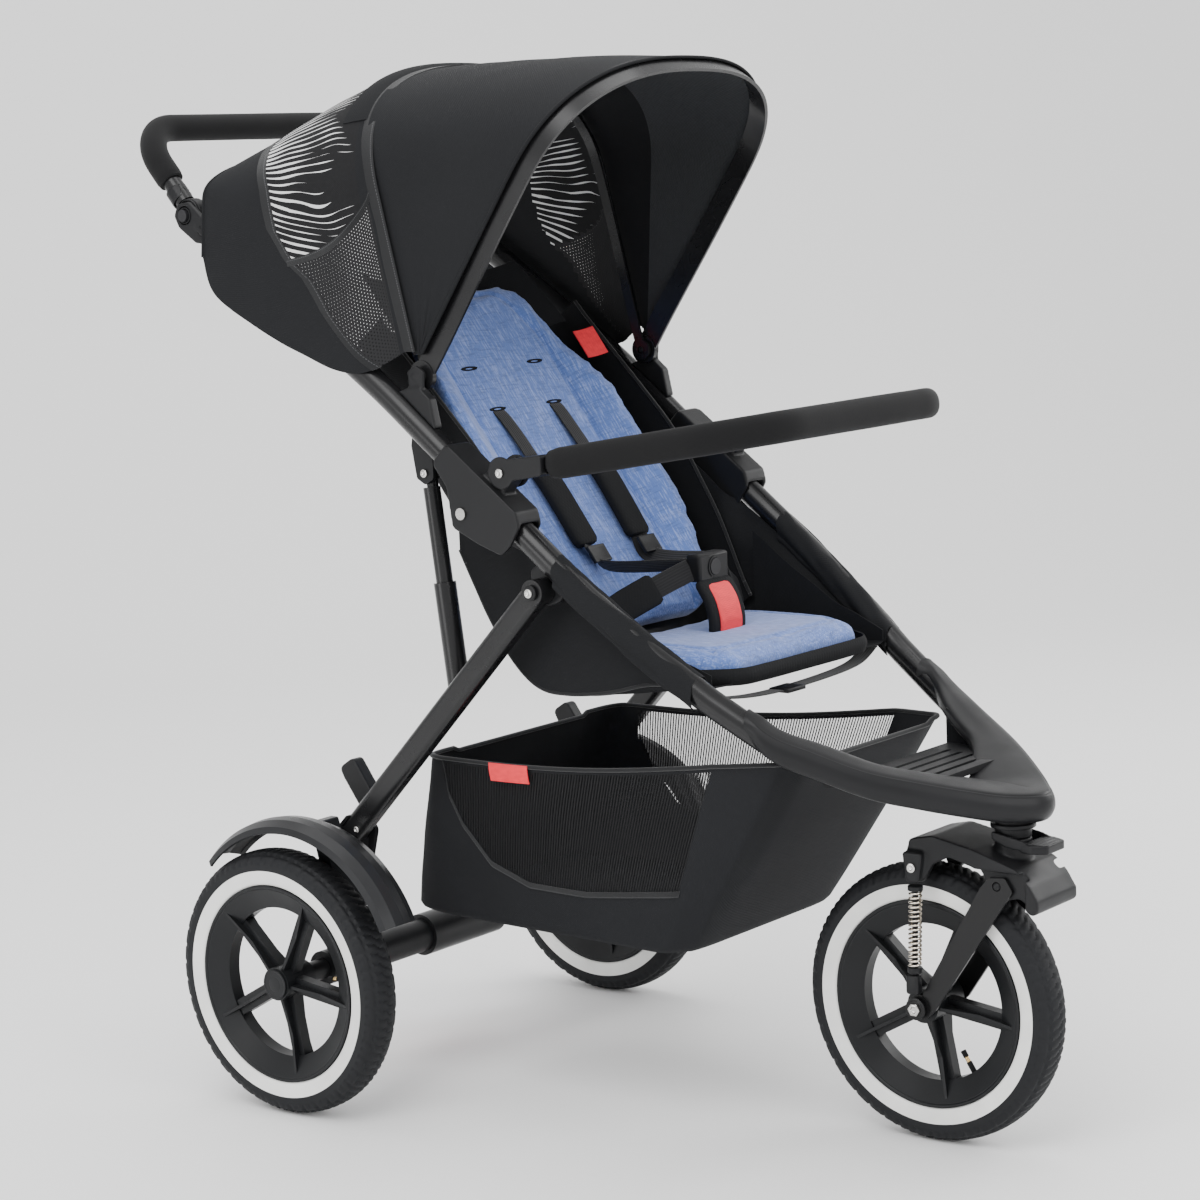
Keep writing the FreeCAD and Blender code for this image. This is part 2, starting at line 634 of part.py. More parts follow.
def strut_sleeve(side):
    """Fatter sleeve over the strut's lower half."""
    top = point(STRUT_X, STRUT_TOP)
    foot = point(STRUT_X, STRUT_END)
    along = (foot - top).normalize()
    outer = Part.makeCylinder(SLEEVE_R, 122.0, top + along * 122.0, along)
    inner = Part.makeCylinder(STRUT_R + SNUG, 122.0, top + along * 122.0, along)
    body = outer.cut(inner)
    return body if side > 0 else mirrored(body)


# ---------------------------------------------------------------- front fork

def fork_crown():
    """Arched crown over the wheel, with the steering sleeve and a front beak."""
    outline = [(-386.0, 312.0), (-392.0, 338.0), (-420.0, 344.0), (-470.0, 334.0), (-520.0, 318.0),
               (-536.0, 302.0), (-546.0, 286.0), (-546.0, 274.0), (-538.0, 270.0), (-518.0, 284.0),
               (-500.0, 280.0), (-484.0, 288.0), (-470.0, 314.0), (-440.0, 322.0), (-420.0, 312.0),
               (-409.0, 292.0), (-394.0, 290.0)]
    block = plate(outline, -42.0, 42.0, 5.0)
    block = block.cut(disc((-389.0, 157.0), -32.5, 32.5, 165.0))
    channel = disc((-389.0, 157.0), -32.5, 32.5, 171.0)
    channel = channel.cut(box((-60.0, -620.0, 200.0), (60.0, -452.0, 400.0)))
    block = block.cut(channel)
    for x in (ARM_X - 3.5, -50.0):
        block = block.cut(box((x, -530.0, 250.0), (x + 50.0 - ARM_X + 3.5, -455.0, 313.0)))
    sleeve = Part.makeCylinder(20.0, 40.0, V(0, STEER_Y, 303.4))
    body = fused([block, sleeve])
    body = body.cut(Part.makeCylinder(8.0, 60.0, V(0, STEER_Y, 298.0)))
    lug = plate([(-388.0, 326.0), (-414.0, 326.0), (-408.0, 292.0), (-392.0, 292.0)],
                ARM_X - 2.0, ARM_X + 16.0, 4.0)
    pin = disc(ARM_PIVOT, ARM_X - 12.0, ARM_X + 2.0, 5.0)
    return fused([body, lug, mirrored(lug), pin, mirrored(pin)])


def steerer():
    """Steel pin of the swivel, from the crown up into the steering head."""
    return Part.makeCylinder(8.0, 68.0, V(0, STEER_Y, 303.0))


def swivel_lock():
    """Ribbed lever in front of the steering head that locks the swivel."""
    tab = flat_plate([(24.3, -516.5), (26.0, -530.0), (18.0, -546.0), (-18.0, -546.0), (-26.0, -530.0),
                      (-24.3, -516.5)], 331.0, 341.5, 4.0)
    ear = plate([(-528.0, 341.0), (-517.0, 345.0), (-482.0, 352.0), (-482.0, 342.5), (-500.0, 335.0),
                 (-528.0, 332.0)], 20.3, 24.3, 2.0)
    body = fused([tab, ear, mirrored(ear)])
    for i in range(3):
        body = body.cut(box((-18.0, -542.0 + 7 * i, 340.3), (18.0, -539.0 + 7 * i, 342.0)))
    return body


def suspension_arm():
    """Pair of plates from the crown's pivot back and down to the front axle."""
    outline = [(-513.0, 292.0), (-504.0, 306.0), (-484.0, 304.0), (-474.0, 292.0), (-402.0, 170.0),
               (-391.0, 146.0), (-404.0, 140.0), (-416.0, 152.0)]
    blade = plate(outline, ARM_X - 3.0, ARM_X + 0.5, 4.0)
    blade = blade.fuse(disc(FRONT_AXLE, ARM_X - 3.0, ARM_X + 1.5, 14.0))
    blade = blade.cut(disc(ARM_PIVOT, ARM_X - 10.0, ARM_X + 10.0, 5.0 + RUNNING))
    axle = disc(FRONT_AXLE, -ARM_X - 3.0, ARM_X + 3.0, AXLE_R)
    bolt = disc(FRONT_AXLE, ARM_X + 1.0, ARM_X + 6.0, 9.0)
    return fused([blade, mirrored(blade), axle, bolt, mirrored(bolt)])


def springs():
    """Spring with its lower clevis on each side of the front wheel."""
    top = point(ARM_X + 9.5, (-401.0, 289.5))
    foot = point(ARM_X + 9.5, (-397.0, 176.0))
    along = foot - top
    coil = Part.makeCylinder(7.5, 98.0, top, along)
    core = Part.makeCylinder(5.0, along.Length - 4.0, top, along)
    clevis = plate([(-405.0, 194.0), (-389.0, 194.0), (-388.0, 168.0), (-402.0, 168.0)],
                   ARM_X + 2.0, ARM_X + 14.0, 3.0)
    return both(fused([coil, core, clevis]))


# ---------------------------------------------------------------- canopy and bumper

def bow(degrees, half, top, thick, width, foot):
    """Flat arched band in a plane through the canopy's pivot."""
    base = polar(CANOPY_PIVOT, degrees, foot)
    crest = polar(CANOPY_PIVOT, degrees, top)
    wire = arch_band(base, crest, half, thick, 0.62)
    across = V(0, math.cos(math.radians(degrees + 90)), math.sin(math.radians(degrees + 90)))
    band = Part.Face(wire).extrude(across * width)
    band.translate(across * (-width / 2))
    return band


def canopy_front_bow():
    """Wide flat bow along the canopy's front edge."""
    band = bow(BOW_FRONT_DEG, CANOPY_X, BOW_TOP, 3.5, BOW_WIDTH, 12.0)
    hub = disc(CANOPY_PIVOT, CANOPY_X - 5.0, CANOPY_X + 1.0, 17.0)
    return fused([band, hub, mirrored(hub)]).cut(disc(CANOPY_PIVOT, -230.0, 230.0, 4.0 + RUNNING))


def canopy_mid_bow():
    """Narrow bow under the seam in the middle of the canopy."""
    band = bow(BOW_MID_DEG, CANOPY_X - 7.0, 342.0, 3.0, 12.0, 10.0)
    hub = disc(CANOPY_PIVOT, CANOPY_X - 10.5, CANOPY_X - 6.4, 12.0)
    return fused([band, hub, mirrored(hub)]).cut(disc(CANOPY_PIVOT, -230.0, 230.0, 4.0 + RUNNING))


def canopy_shell():
    """Fabric between the front and middle bows, open below and in front."""
    wires = []
    behind_bow = polar((0.0, 0.0), BOW_FRONT_DEG - 90, BOW_WIDTH / 2 + GAP)
    rows = [(BOW_FRONT_DEG, 399.5, behind_bow), (100.0, 346.0, (0.0, 0.0)), (BOW_MID_DEG, 347.6, (0.0, 0.0))]
    for degrees, top, shift in rows:
        base = polar(CANOPY_PIVOT, degrees, 24.0)
        crest = polar(CANOPY_PIVOT, degrees, top)
        base = (base[0] + shift[0], base[1] + shift[1])
        crest = (crest[0] + shift[0], crest[1] + shift[1])
        wires.append(arch_band(base, crest, CANOPY_X + 3.6, 2.4, 0.60))
    return Part.makeLoft(wires, True, True)


def canopy_rear():
    """Rear fabric that runs outside the upper rails to the handle end."""
    rows = [((128.0, 862.0), (201.0, 1170.0), 209.5), ((190.0, 838.0), (226.0, 1168.0), 229.0),
            ((285.0, 868.0), (300.0, 1139.0), 232.5), ((388.0, 922.0), (372.0, 1102.0), 233.0),
            ((412.0, 970.0), (400.0, 1082.0), 233.0)]
    wires = [arch_band(base, top, half, 2.4, 0.55) for base, top, half in rows]
    return Part.makeLoft(wires, True, True).cut(both(upper_rail_core(RAIL_R + 1.0)))


def bumper_points():
    side = [(210.0, -33.0, 737.0), (210.0, -78.0, 744.0), (196.0, -262.0, 772.0), (150.0, -318.0, 781.0)]
    return [V(*p) for p in side] + [V(-p[0], p[1], p[2]) for p in reversed(side)]


def bumper_core():
    return swept(bumper_points(), BUMPER_BENDS, BUMPER_TUBE_R + SNUG)


def bumper_tube():
    return tube(bumper_points(), BUMPER_BENDS, BUMPER_TUBE_R, 1.6)


def bumper_foam():
    """Foam sleeve over the bumper bar, short of the arms at its ends."""
    points = bumper_points()
    points[0] = V(210.0, -70.0, 742.8)
    points[-1] = V(-210.0, -70.0, 742.8)
    points[1] = V(209.4, -86.0, 745.2)
    points[-2] = V(-209.4, -86.0, 745.2)
    bends = [0, 60, 70, 70, 70, 70, 60, 0]
    return swept(points, bends, BUMPER_R).cut(bumper_core())


def bumper_arms():
    """Disc and clevis arm at each end of the bumper bar."""
    plate_out = disc(BUMPER_PIVOT, RAIL_X + 11.5, RAIL_X + 15.0, 18.0)
    plate_in = disc(BUMPER_PIVOT, RAIL_X - 15.0, RAIL_X - 11.5, 18.0)
    pin = disc(BUMPER_PIVOT, RAIL_X - 15.0, RAIL_X + 15.0, 5.0)
    arm = plate([(-14.0, 723.0), (-14.0, 748.0), (-66.0, 754.0), (-66.0, 731.0)],
                RAIL_X - 15.0, RAIL_X + 15.0, 4.0)
    arm = arm.cut(disc(BUMPER_PIVOT, RAIL_X - 11.5, RAIL_X + 11.5, 18.0))
    body = fused([plate_out, plate_in, pin, arm])
    return both(body.cut(bumper_core()))


# ---------------------------------------------------------------- seat back

def lean(shape):
    """Tilts a part drawn upright from the seat hinge to the backrest's angle."""
    shape.rotate(point(0, SEAT_HINGE), X_AXIS, SEAT_DEG - 90)
    return shape


def seat_hinge_rod():
    """Rod across the seat's crease that the backrest turns on."""
    return disc(SEAT_HINGE, -172.0, 172.0, 5.0)


def seat_board():
    """Stiff board behind the back pad, with three eyes round the hinge rod."""
    y, z = SEAT_HINGE
    board = Part.makeBox(316.0, 4.0, 440.0, V(-158.0, y + 8.0, z + 14.0))
    board = board.makeFillet(1.0, board.Edges)
    eyes = []
    for x in (-158.0, -20.0, 118.0):
        eye = disc(SEAT_HINGE, x, x + 40.0, 8.5).fuse(box((x, y, z), (x + 40.0, y + 8.5, z + 20.0)))
        eye = eye.fuse(box((x, y + 8.0, z + 10.0), (x + 40.0, y + 12.0, z + 20.0)))
        eyes.append(eye)
    body = fused([board] + eyes).cut(disc(SEAT_HINGE, -180, 180, 5.0 + RUNNING))
    return lean(body)


def back_pad():
    """Backrest cushion, narrower at both ends."""
    y, z = SEAT_HINGE
    side = [(-126.0, z + 24.0), (-150.0, z + 170.0), (-146.0, z + 330.0), (-112.0, z + 446.0),
            (112.0, z + 446.0), (146.0, z + 330.0), (150.0, z + 170.0), (126.0, z + 24.0)]
    corners = [V(p[0], y + 7.6, p[1]) for p in side]
    face = Part.Face(Part.Wire(rounded_edges(corners, 40.0, True)))
    pad = face.extrude(V(0, -22.0, 0))
    return lean(pad)


def shoulder_pads():
    """Padded covers of the two shoulder straps."""
    y, z = SEAT_HINGE
    pad = box((40.0, y - 26.0, z + 120.0), (86.0, y - 15.0, z + 290.0))
    pad = pad.makeFillet(4.5, pad.Edges)
    return lean(both(pad))


def seat_back_fabric():
    """Side wings of the seat between the backrest and the rails."""
    y, z = SEAT_HINGE
    wires = []
    for height, half, reach in ((22.0, 175.0, 30.0), (200.0, 175.0, 60.0), (440.0, 175.0, 34.0)):
        outer = [V(half, y - reach, z + height), V(half - 6, y + 18, z + height),
                 V(-half + 6, y + 18, z + height), V(-half, y - reach, z + height)]
        inner = [V(half - 2.4, y - reach, z + height), V(half - 8.4, y + 15.6, z + height),
                 V(-half + 8.4, y + 15.6, z + height), V(-half + 2.4, y - reach, z + height)]
        wires.append(Part.makePolygon(outer + list(reversed(inner)) + [outer[0]]))
    return lean(Part.makeLoft(wires, True, True))


def all_nodes():
    nodes = {
        "nose_housing": nose_housing(),
        "footrest": footrest(),
        "lower_rail_ends": lower_rail_ends(),
        "leg_brackets": leg_brackets(),
        "seat_sling": seat_sling(),
        "seat_base_pad": seat_base_pad(),
        "crotch_strap": crotch_strap(),
        "harness_buckle": harness_buckle(),
        "buckle_button": buckle_button(),
        "basket": basket(),
        "fold_screws": fold_screws(),
        "strut_plates": strut_plates(),
        "canopy_clips": canopy_clips(),
        "handle_forks": handle_forks(),
        "handle_tube": handle_tube(),
        "handle_grip": handle_grip(),
        "handle_hubs": handle_hubs(),
        "axle_housing": axle_housing(),
        "leg_shoes": leg_shoes(),
        "axle_pins": axle_pins(),
        "leg_paddles": leg_paddles(),
        "brake_pedal": brake_pedal(),
        "fork_crown": fork_crown(),
        "steerer": steerer(),
        "swivel_lock": swivel_lock(),
        "suspension_arm": suspension_arm(),
        "springs": springs(),
        "front_tyre": tyre(0.0, FRONT_AXLE),
        "front_rim": rim(0.0, FRONT_AXLE, -FRONT_HUB_HALF, FRONT_HUB_HALF),
        "canopy_front_bow": canopy_front_bow(),
        "canopy_mid_bow": canopy_mid_bow(),
        "canopy_shell": canopy_shell(),
        "canopy_rear": canopy_rear(),
        "bumper_tube": bumper_tube(),
        "bumper_foam": bumper_foam(),
        "bumper_arms": bumper_arms(),
        "seat_hinge_rod": seat_hinge_rod(),
        "seat_board": seat_board(),
        "back_pad": back_pad(),
        "shoulder_pads": shoulder_pads(),
        "seat_back_fabric": seat_back_fabric(),
    }
    left_tyre = tyre(REAR_WHEEL_X, REAR_AXLE)
    left_rim = rim(REAR_WHEEL_X, REAR_AXLE, REAR_HUB_IN, REAR_HUB_OUT)
    for name, side in SIDES.items():
        nodes["lower_rail_" + name] = lower_rail(side)
        nodes["upper_rail_" + name] = upper_rail(side)
        nodes["fold_housing_" + name] = fold_housing(side)
        nodes["handle_button_" + name] = handle_button(side)
        nodes["rear_leg_" + name] = rear_leg(side)
        nodes["mudguard_" + name] = mudguard(side)
        nodes["strut_" + name] = Part.makeCompound([strut(side), strut_sleeve(side)])
        nodes["rear_tyre_" + name] = left_tyre if side > 0 else mirrored(left_tyre)
        nodes["rear_rim_" + name] = Part.makeCompound([left_rim if side > 0 else mirrored(left_rim),
                                                       hub_cap(side)])
    return nodes


def main():
    os.makedirs("parts", exist_ok=True)
    for name, shape in all_nodes().items():
        placed = shape.copy()
        placed.translate(V(0, -CENTRE_Y, 0))
        placed.exportStep(os.path.join("parts", name + ".step"))


main()
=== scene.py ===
"""Looks of a three-wheeled pushchair: cloth, padding, foam, tyres, springs and finishes round its frame.

Points are written in millimetres: across (left is +), back from the middle, and up from the floor.
"""

import json
import math

import bpy
from mathutils import Matrix, Vector, noise


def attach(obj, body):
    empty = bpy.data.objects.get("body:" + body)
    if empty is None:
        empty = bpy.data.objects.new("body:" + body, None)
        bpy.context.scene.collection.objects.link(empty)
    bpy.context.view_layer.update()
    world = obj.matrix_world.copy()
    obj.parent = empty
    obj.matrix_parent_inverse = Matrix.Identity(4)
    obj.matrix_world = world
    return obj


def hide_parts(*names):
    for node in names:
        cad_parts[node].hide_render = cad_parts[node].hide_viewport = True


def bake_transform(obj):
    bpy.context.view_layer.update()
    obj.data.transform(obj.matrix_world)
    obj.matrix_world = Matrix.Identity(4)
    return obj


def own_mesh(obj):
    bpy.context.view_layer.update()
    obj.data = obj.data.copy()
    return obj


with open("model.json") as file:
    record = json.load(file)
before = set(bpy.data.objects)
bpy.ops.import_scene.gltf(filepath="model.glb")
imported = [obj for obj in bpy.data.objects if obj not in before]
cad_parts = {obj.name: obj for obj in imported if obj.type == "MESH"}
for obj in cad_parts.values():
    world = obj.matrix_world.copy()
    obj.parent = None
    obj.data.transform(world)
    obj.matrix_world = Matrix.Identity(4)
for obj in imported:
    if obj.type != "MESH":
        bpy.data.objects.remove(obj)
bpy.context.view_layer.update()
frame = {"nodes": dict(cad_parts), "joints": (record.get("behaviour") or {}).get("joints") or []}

bl_info = {
    "name": "Pushchair Looks",
    "version": (1, 0, 0),
    "blender": (4, 5, 0),
    "location": "View3D > Sidebar > Pushchair",
    "description": "Cloth, padding, tyres, springs and finishes of a three-wheeled pushchair",
    "category": "Object",
}

MM = 0.001
CENTRE_Y = 0.651
X_AXIS = Vector((1, 0, 0))
SIDES = (("left", 1), ("right", -1))
PIVOT = {joint["name"]: Vector(joint.get("pos_m", (0, 0, 0))) for joint in frame["joints"]}

# pivots and bolts on the side of the chair: back from the middle, up from the floor
SEAT_HINGE = (-34.0, 512.0)
SEAT_LEAN = math.radians(54.4)
CANOPY_PIVOT = (115.2, 834.0)
BUMPER_PIVOT = (-9.8, 733.1)
STRUT_PIVOT = (118.0, 727.0)
LEG_PIVOT = (-50.0, 607.0)
HANDLE_PIVOT = (445.0, 1017.0)
SHOE_BOLTS = ((222.0, 322.0), (250.0, 268.0))
FRONT_AXLE = (-395, 152.5)
REAR_AXLE = (284.3, 152.5)
HANDLE_POINTS = [(213, 455, 1031), (212, 508, 1092), (180, 530, 1119)]
HANDLE_BENDS = [0, 60, 60, 60, 60, 0]
BUMPER_POINTS = [(210, -33, 737), (210, -78, 744), (196, -262, 772), (150, -318, 781)]
BUMPER_BENDS = [0, 100, 70, 70, 70, 70, 100, 0]
RAIL_TRACK = [(209.8, 3, 689), (209.3, -110, 599), (199, -185, 542), (184, -245, 496), (165, -315, 450)]

# canopy arches from front to back: foot (y, z), crest (y, z), half width and straight share
COVER_ROWS = [
    (109.5, 859.6, -109.5, 1165.2, 207.4, 0.60),
    (111.6, 860.0, -26.0, 1172.5, 207.0, 0.60),
    (111.0, 857.6, 55.1, 1174.7, 207.0, 0.60),
    (115.0, 857.4, 128.0, 1174.6, 207.0, 0.60),
    (121.0, 857.3, 199.3, 1171.3, 207.4, 0.60),
]
BACK_ROWS = [
    (128, 862, 201, 1171, 209.8, 0.55),
    (190, 838, 226, 1168.5, 229.3, 0.55),
    (285, 868, 300, 1139.5, 232.8, 0.55),
    (388, 922, 372, 1102.5, 233.3, 0.55),
    (412, 970, 400, 1082.5, 233.3, 0.55),
]


class PushchairLooks(bpy.types.PropertyGroup):
    """Sizes and colours that a user may change before the pieces are made."""

    liner_colour: bpy.props.FloatVectorProperty(
        name="Liner", description="Main blue of the seat liner", size=3, subtype="COLOR",
        min=0, max=1, default=(0.105, 0.180, 0.47))
    cloth_colour: bpy.props.FloatVectorProperty(
        name="Cloth", description="Charcoal of the canopy, seat and basket cloth", size=3,
        subtype="COLOR", min=0, max=1, default=(0.0068, 0.0072, 0.0084))
    tag_colour: bpy.props.FloatVectorProperty(
        name="Tags", description="Red of the sewn tags and the harness pad", size=3,
        subtype="COLOR", min=0, max=1, default=(0.72, 0.035, 0.045))
    band_colour: bpy.props.FloatVectorProperty(
        name="Tyre band", description="Pale side band of the tyres", size=3, subtype="COLOR",
        min=0, max=1, default=(0.80, 0.80, 0.78))
    cloth_thickness: bpy.props.FloatProperty(
        name="Cloth thickness", description="Thickness of the sewn panels", unit="LENGTH",
        min=0.0005, max=0.003, default=0.0012)
    wrinkle: bpy.props.FloatProperty(
        name="Wrinkles", description="Height of the cloth's soft folds", unit="LENGTH",
        min=0, max=0.01, default=0.0016)
    pad_swell: bpy.props.FloatProperty(
        name="Pad swell", description="Furthest that a pad's surface may swell", unit="LENGTH",
        min=0.002, max=0.02, default=0.007)
    tread_depth: bpy.props.FloatProperty(
        name="Tread depth", description="Depth of the grooves in the tyres", unit="LENGTH",
        min=0, max=0.004, default=0.0022)
    spring_turns: bpy.props.IntProperty(
        name="Spring turns", description="Turns of wire in each fork spring", min=6, max=24,
        default=17)
    floor_colour: bpy.props.FloatVectorProperty(
        name="Floor", description="Pale floor and backdrop", size=3, subtype="COLOR", min=0,
        max=1, default=(0.94, 0.94, 0.94))


# ---------------------------------------------------------------- points and paths

def at(x, y, z):
    """A point of the chair in metres, from millimetres across, back and up."""
    return Vector((x, y - CENTRE_Y, z)) * MM


def on_back(x, depth, height):
    """A point by the backrest: across, behind its hinge line and up along it, in millimetres."""
    up = (math.cos(SEAT_LEAN), math.sin(SEAT_LEAN))
    y = SEAT_HINGE[0] + up[1] * depth + up[0] * height
    z = SEAT_HINGE[1] - up[0] * depth + up[1] * height
    return at(x, y, z)


def clamp01(value):
    """The value held between 0 and 1."""
    return max(0.0, min(1.0, value))


def smooth(low, high, value):
    """A soft step from 0 at low to 1 at high."""
    t = clamp01((value - low) / (high - low))
    return t * t * (3 - 2 * t)


def spline(points, t):
    """A point on the smooth curve through the points, t from 0 to 1."""
    last = len(points) - 1
    s = min(max(t, 0.0) * last, last - 1e-6)
    i = int(s)
    f = s - i
    a = points[max(i - 1, 0)]
    b = points[i]
    c = points[i + 1]
    d = points[min(i + 2, last)]
    return 0.5 * ((2 * b) + (c - a) * f + (2 * a - 5 * b + 4 * c - d) * f * f
                  + (3 * b - a - 3 * c + d) * f ** 3)


def through(points):
    """The smooth path through some points, as a function of 0 to 1."""
    return lambda t: spline(points, t)


def rounded_path(points, radii, steps=8):
    """Straight runs through the points with an arc at each turn, as a function of 0 to 1."""
    line = [points[0]]
    for i in range(1, len(points) - 1):
        here = points[i]
        back = points[i - 1] - here
        ahead = points[i + 1] - here
        turn = math.pi - back.angle(ahead)
        if turn < 1e-3 or not radii[i]:
            line.append(here)
            continue
        reach = min(radii[i] * MM * math.tan(turn / 2), 0.49 * back.length, 0.49 * ahead.length)
        r = reach / math.tan(turn / 2)
        u = back.normalized()
        w = ahead.normalized()
        centre = here + (u + w).normalized() * (r / math.cos(turn / 2))
        for k in range(steps + 1):
            spoke = (here + u * reach - centre).lerp(here + w * reach - centre, k / steps)
            line.append(centre + spoke.normalized() * r)
    line.append(points[-1])
    reached = [0.0]
    for a, b in zip(line, line[1:]):
        reached.append(reached[-1] + (b - a).length)

    def place(t):
        s = clamp01(t) * reached[-1]
        i = 1
        while i < len(line) - 1 and reached[i] < s:
            i += 1
        span = max(reached[i] - reached[i - 1], 1e-9)
        return line[i - 1].lerp(line[i], (s - reached[i - 1]) / span)

    return place


def straight_between(line, place):
    """The value at a place on a line of (place, value) points joined by straight runs."""
    for a, b in zip(line, line[1:]):
        if place <= b[0]:
            return a[1] + (b[1] - a[1]) * (place - a[0]) / (b[0] - a[0])
    return line[-1][1]


def blunt(least, reach):
    """A taper that narrows a bar to its least share over a reach at both ends."""
    return lambda v: least + (1 - least) * smooth(0.0, reach, min(v, 1 - v))


def both_ends(points):
    """Points of one side followed by their mirror images, in metres."""
    return [at(*p) for p in points] + [at(-p[0], p[1], p[2]) for p in reversed(points)]


def rail_at(y):
    """Across and height of the lower rail's middle at a place along the chair."""
    for a, b in zip(RAIL_TRACK, RAIL_TRACK[1:]):
        if y >= b[1] or b is RAIL_TRACK[-1]:
            t = (y - a[1]) / (b[1] - a[1])
            return a[0] + (b[0] - a[0]) * t, a[2] + (b[2] - a[2]) * t


def arch(row, u):
    """A point on an arch over the chair, u from 0 on the left to 1 on the right."""
    foot_y, foot_z, top_y, top_z, half, straight = row
    rise = Vector((0, top_y - foot_y, top_z - foot_z))
    height = rise.length
    rise.normalize()
    side = height * straight
    bend = 0.82 * math.pi * (half + height - side) / 2 * 1.2
    s = u * (2 * side + bend)
    if s < side:
        across, up = half, s
    elif s > side + bend:
        across, up = -half, 2 * side + bend - s
    else:
        a = math.pi * (s - side) / bend
        across = half * math.copysign(abs(math.cos(a)) ** 0.8, math.cos(a))
        up = side + (height - side) * max(math.sin(a), 0.0) ** 0.8
    return at(across, foot_y, foot_z) + rise * up * MM


def ripple(point, scale, seed=0.0):
    """Soft unevenness of cloth at a point, about -1 to 1."""
    return noise.noise(point * scale + Vector((seed, seed * 0.7, -seed)))


# ---------------------------------------------------------------- modelling

def fresh():
    """Leaves edit mode and selects nothing."""
    if bpy.context.object and bpy.context.object.mode != "OBJECT":
        bpy.ops.object.mode_set(mode="OBJECT")
    bpy.ops.object.select_all(action="DESELECT")


def only(piece):
    """Makes one piece the only selected and active one."""
    fresh()
    piece.select_set(True)
    bpy.context.view_layer.objects.active = piece


def take(name):
    """Names the object just added and its mesh."""
    piece = bpy.context.object
    piece.name = name
    piece.data.name = name
    return piece


def settle(piece):
    """Moves a piece's place, turn and size into its mesh."""
    only(piece)
    bpy.ops.object.transform_apply(location=True, rotation=True, scale=True)
    return piece


def finish_with(piece, kind, **settings):
    """Adds a modifier and applies it."""
    only(piece)
    modifier = piece.modifiers.new(kind.lower(), kind)
    for key, value in settings.items():
        setattr(modifier, key, value)
    bpy.ops.object.modifier_apply(modifier=modifier.name)
    return piece


def weld(piece, close=False, gap=0.00003):
    """Merges doubled points, fills open ends if asked and turns the faces outward."""
    only(piece)
    bpy.ops.object.mode_set(mode="EDIT")
    bpy.ops.mesh.select_all(action="SELECT")
    bpy.ops.mesh.remove_doubles(threshold=gap)
    if close:
        bpy.ops.mesh.fill_holes(sides=0)
        bpy.ops.mesh.select_all(action="SELECT")
    bpy.ops.mesh.normals_make_consistent(inside=False)
    bpy.ops.object.mode_set(mode="OBJECT")
    return piece


def soften(piece, angle=40):
    """Smooth shading across edges flatter than an angle in degrees."""
    only(piece)
    bpy.ops.object.shade_smooth_by_angle(angle=math.radians(angle))
    return piece


def skin(name, across, along, place, size=(1.0, 1.0)):
    """A grid whose points are laid on a surface by place(u, v), with its UV map in metres."""
    fresh()
    bpy.ops.mesh.primitive_grid_add(x_subdivisions=across, y_subdivisions=along, size=2)
    piece = take(name)
    for vert in piece.data.vertices:
        vert.co = place((vert.co.x + 1) / 2, (vert.co.y + 1) / 2)
    uv = piece.data.uv_layers.active.data
    for corner in uv:
        corner.uv = (corner.uv.x * size[0], corner.uv.y * size[1])
    piece.data.update()
    return piece


def middle_uv(face, uv, size):
    """The middle of a face on its UV map, as shares of the map's size."""
    corners = [uv[k].uv for k in face.loop_indices]
    return (sum(c.x for c in corners) / len(corners) / size[0],
            sum(c.y for c in corners) / len(corners) / size[1])


def thicken(piece, thickness, offset=-1.0):
    """Gives a sheet its thickness."""
    return finish_with(piece, "SOLIDIFY", thickness=thickness, offset=offset, use_even_offset=False)


def oval(width, height, power=1.0):
    """A closed ring as a function of 0 to 1: an oval at power 1, nearly a box at 0.3."""
    def ring(u):
        a = 2 * math.pi * u
        c, s = math.cos(a), math.sin(a)
        return (width / 2 * math.copysign(abs(c) ** power, c) * MM,
                height / 2 * math.copysign(abs(s) ** power, s) * MM)
    return ring


def sweep(name, path, ring, around, steps, side, size=(1.0, 1.0), taper=None):
    """A closed bar with a ring section along a path; side is the section's first direction."""
    def place(u, v):
        here = path(v)
        ahead = path(min(v + 0.004, 1.0)) - path(max(v - 0.004, 0.0))
        ahead.normalize()
        first = (side - ahead * side.dot(ahead)).normalized()
        second = ahead.cross(first)
        a, b = ring(u)
        k = taper(v) if taper else 1.0
        return here + first * a * k + second * b * k
    return weld(skin(name, around, steps, place, size), close=True)


def cylinder(name, centre, axis, radius, depth, sides=32):
    """A disc or pin in millimetres about a centre, along an axis."""
    fresh()
    turn = Vector((0, 0, 1)).rotation_difference(Vector(axis)).to_euler()
    bpy.ops.mesh.primitive_cylinder_add(vertices=sides, radius=radius * MM, depth=depth * MM,
                                        location=at(*centre), rotation=turn)
    return take(name)


def block(name, centre, size):
    """A box of a size in millimetres about a centre in metres."""
    fresh()
    bpy.ops.mesh.primitive_cube_add(size=1, location=centre, scale=[s * MM for s in size])
    return settle(take(name))


def face_towards(piece, direction, least=0.9):
    """Selects the faces that look along a direction, in edit mode afterwards."""
    only(piece)
    turn = piece.matrix_world.to_3x3()
    direction = Vector(direction)
    bpy.ops.object.mode_set(mode="EDIT")
    bpy.ops.mesh.select_mode(type="FACE")
    bpy.ops.mesh.select_all(action="DESELECT")
    bpy.ops.object.mode_set(mode="OBJECT")
    for face in piece.data.polygons:
        face.select = (turn @ face.normal).normalized().dot(direction) > least
    bpy.ops.object.mode_set(mode="EDIT")


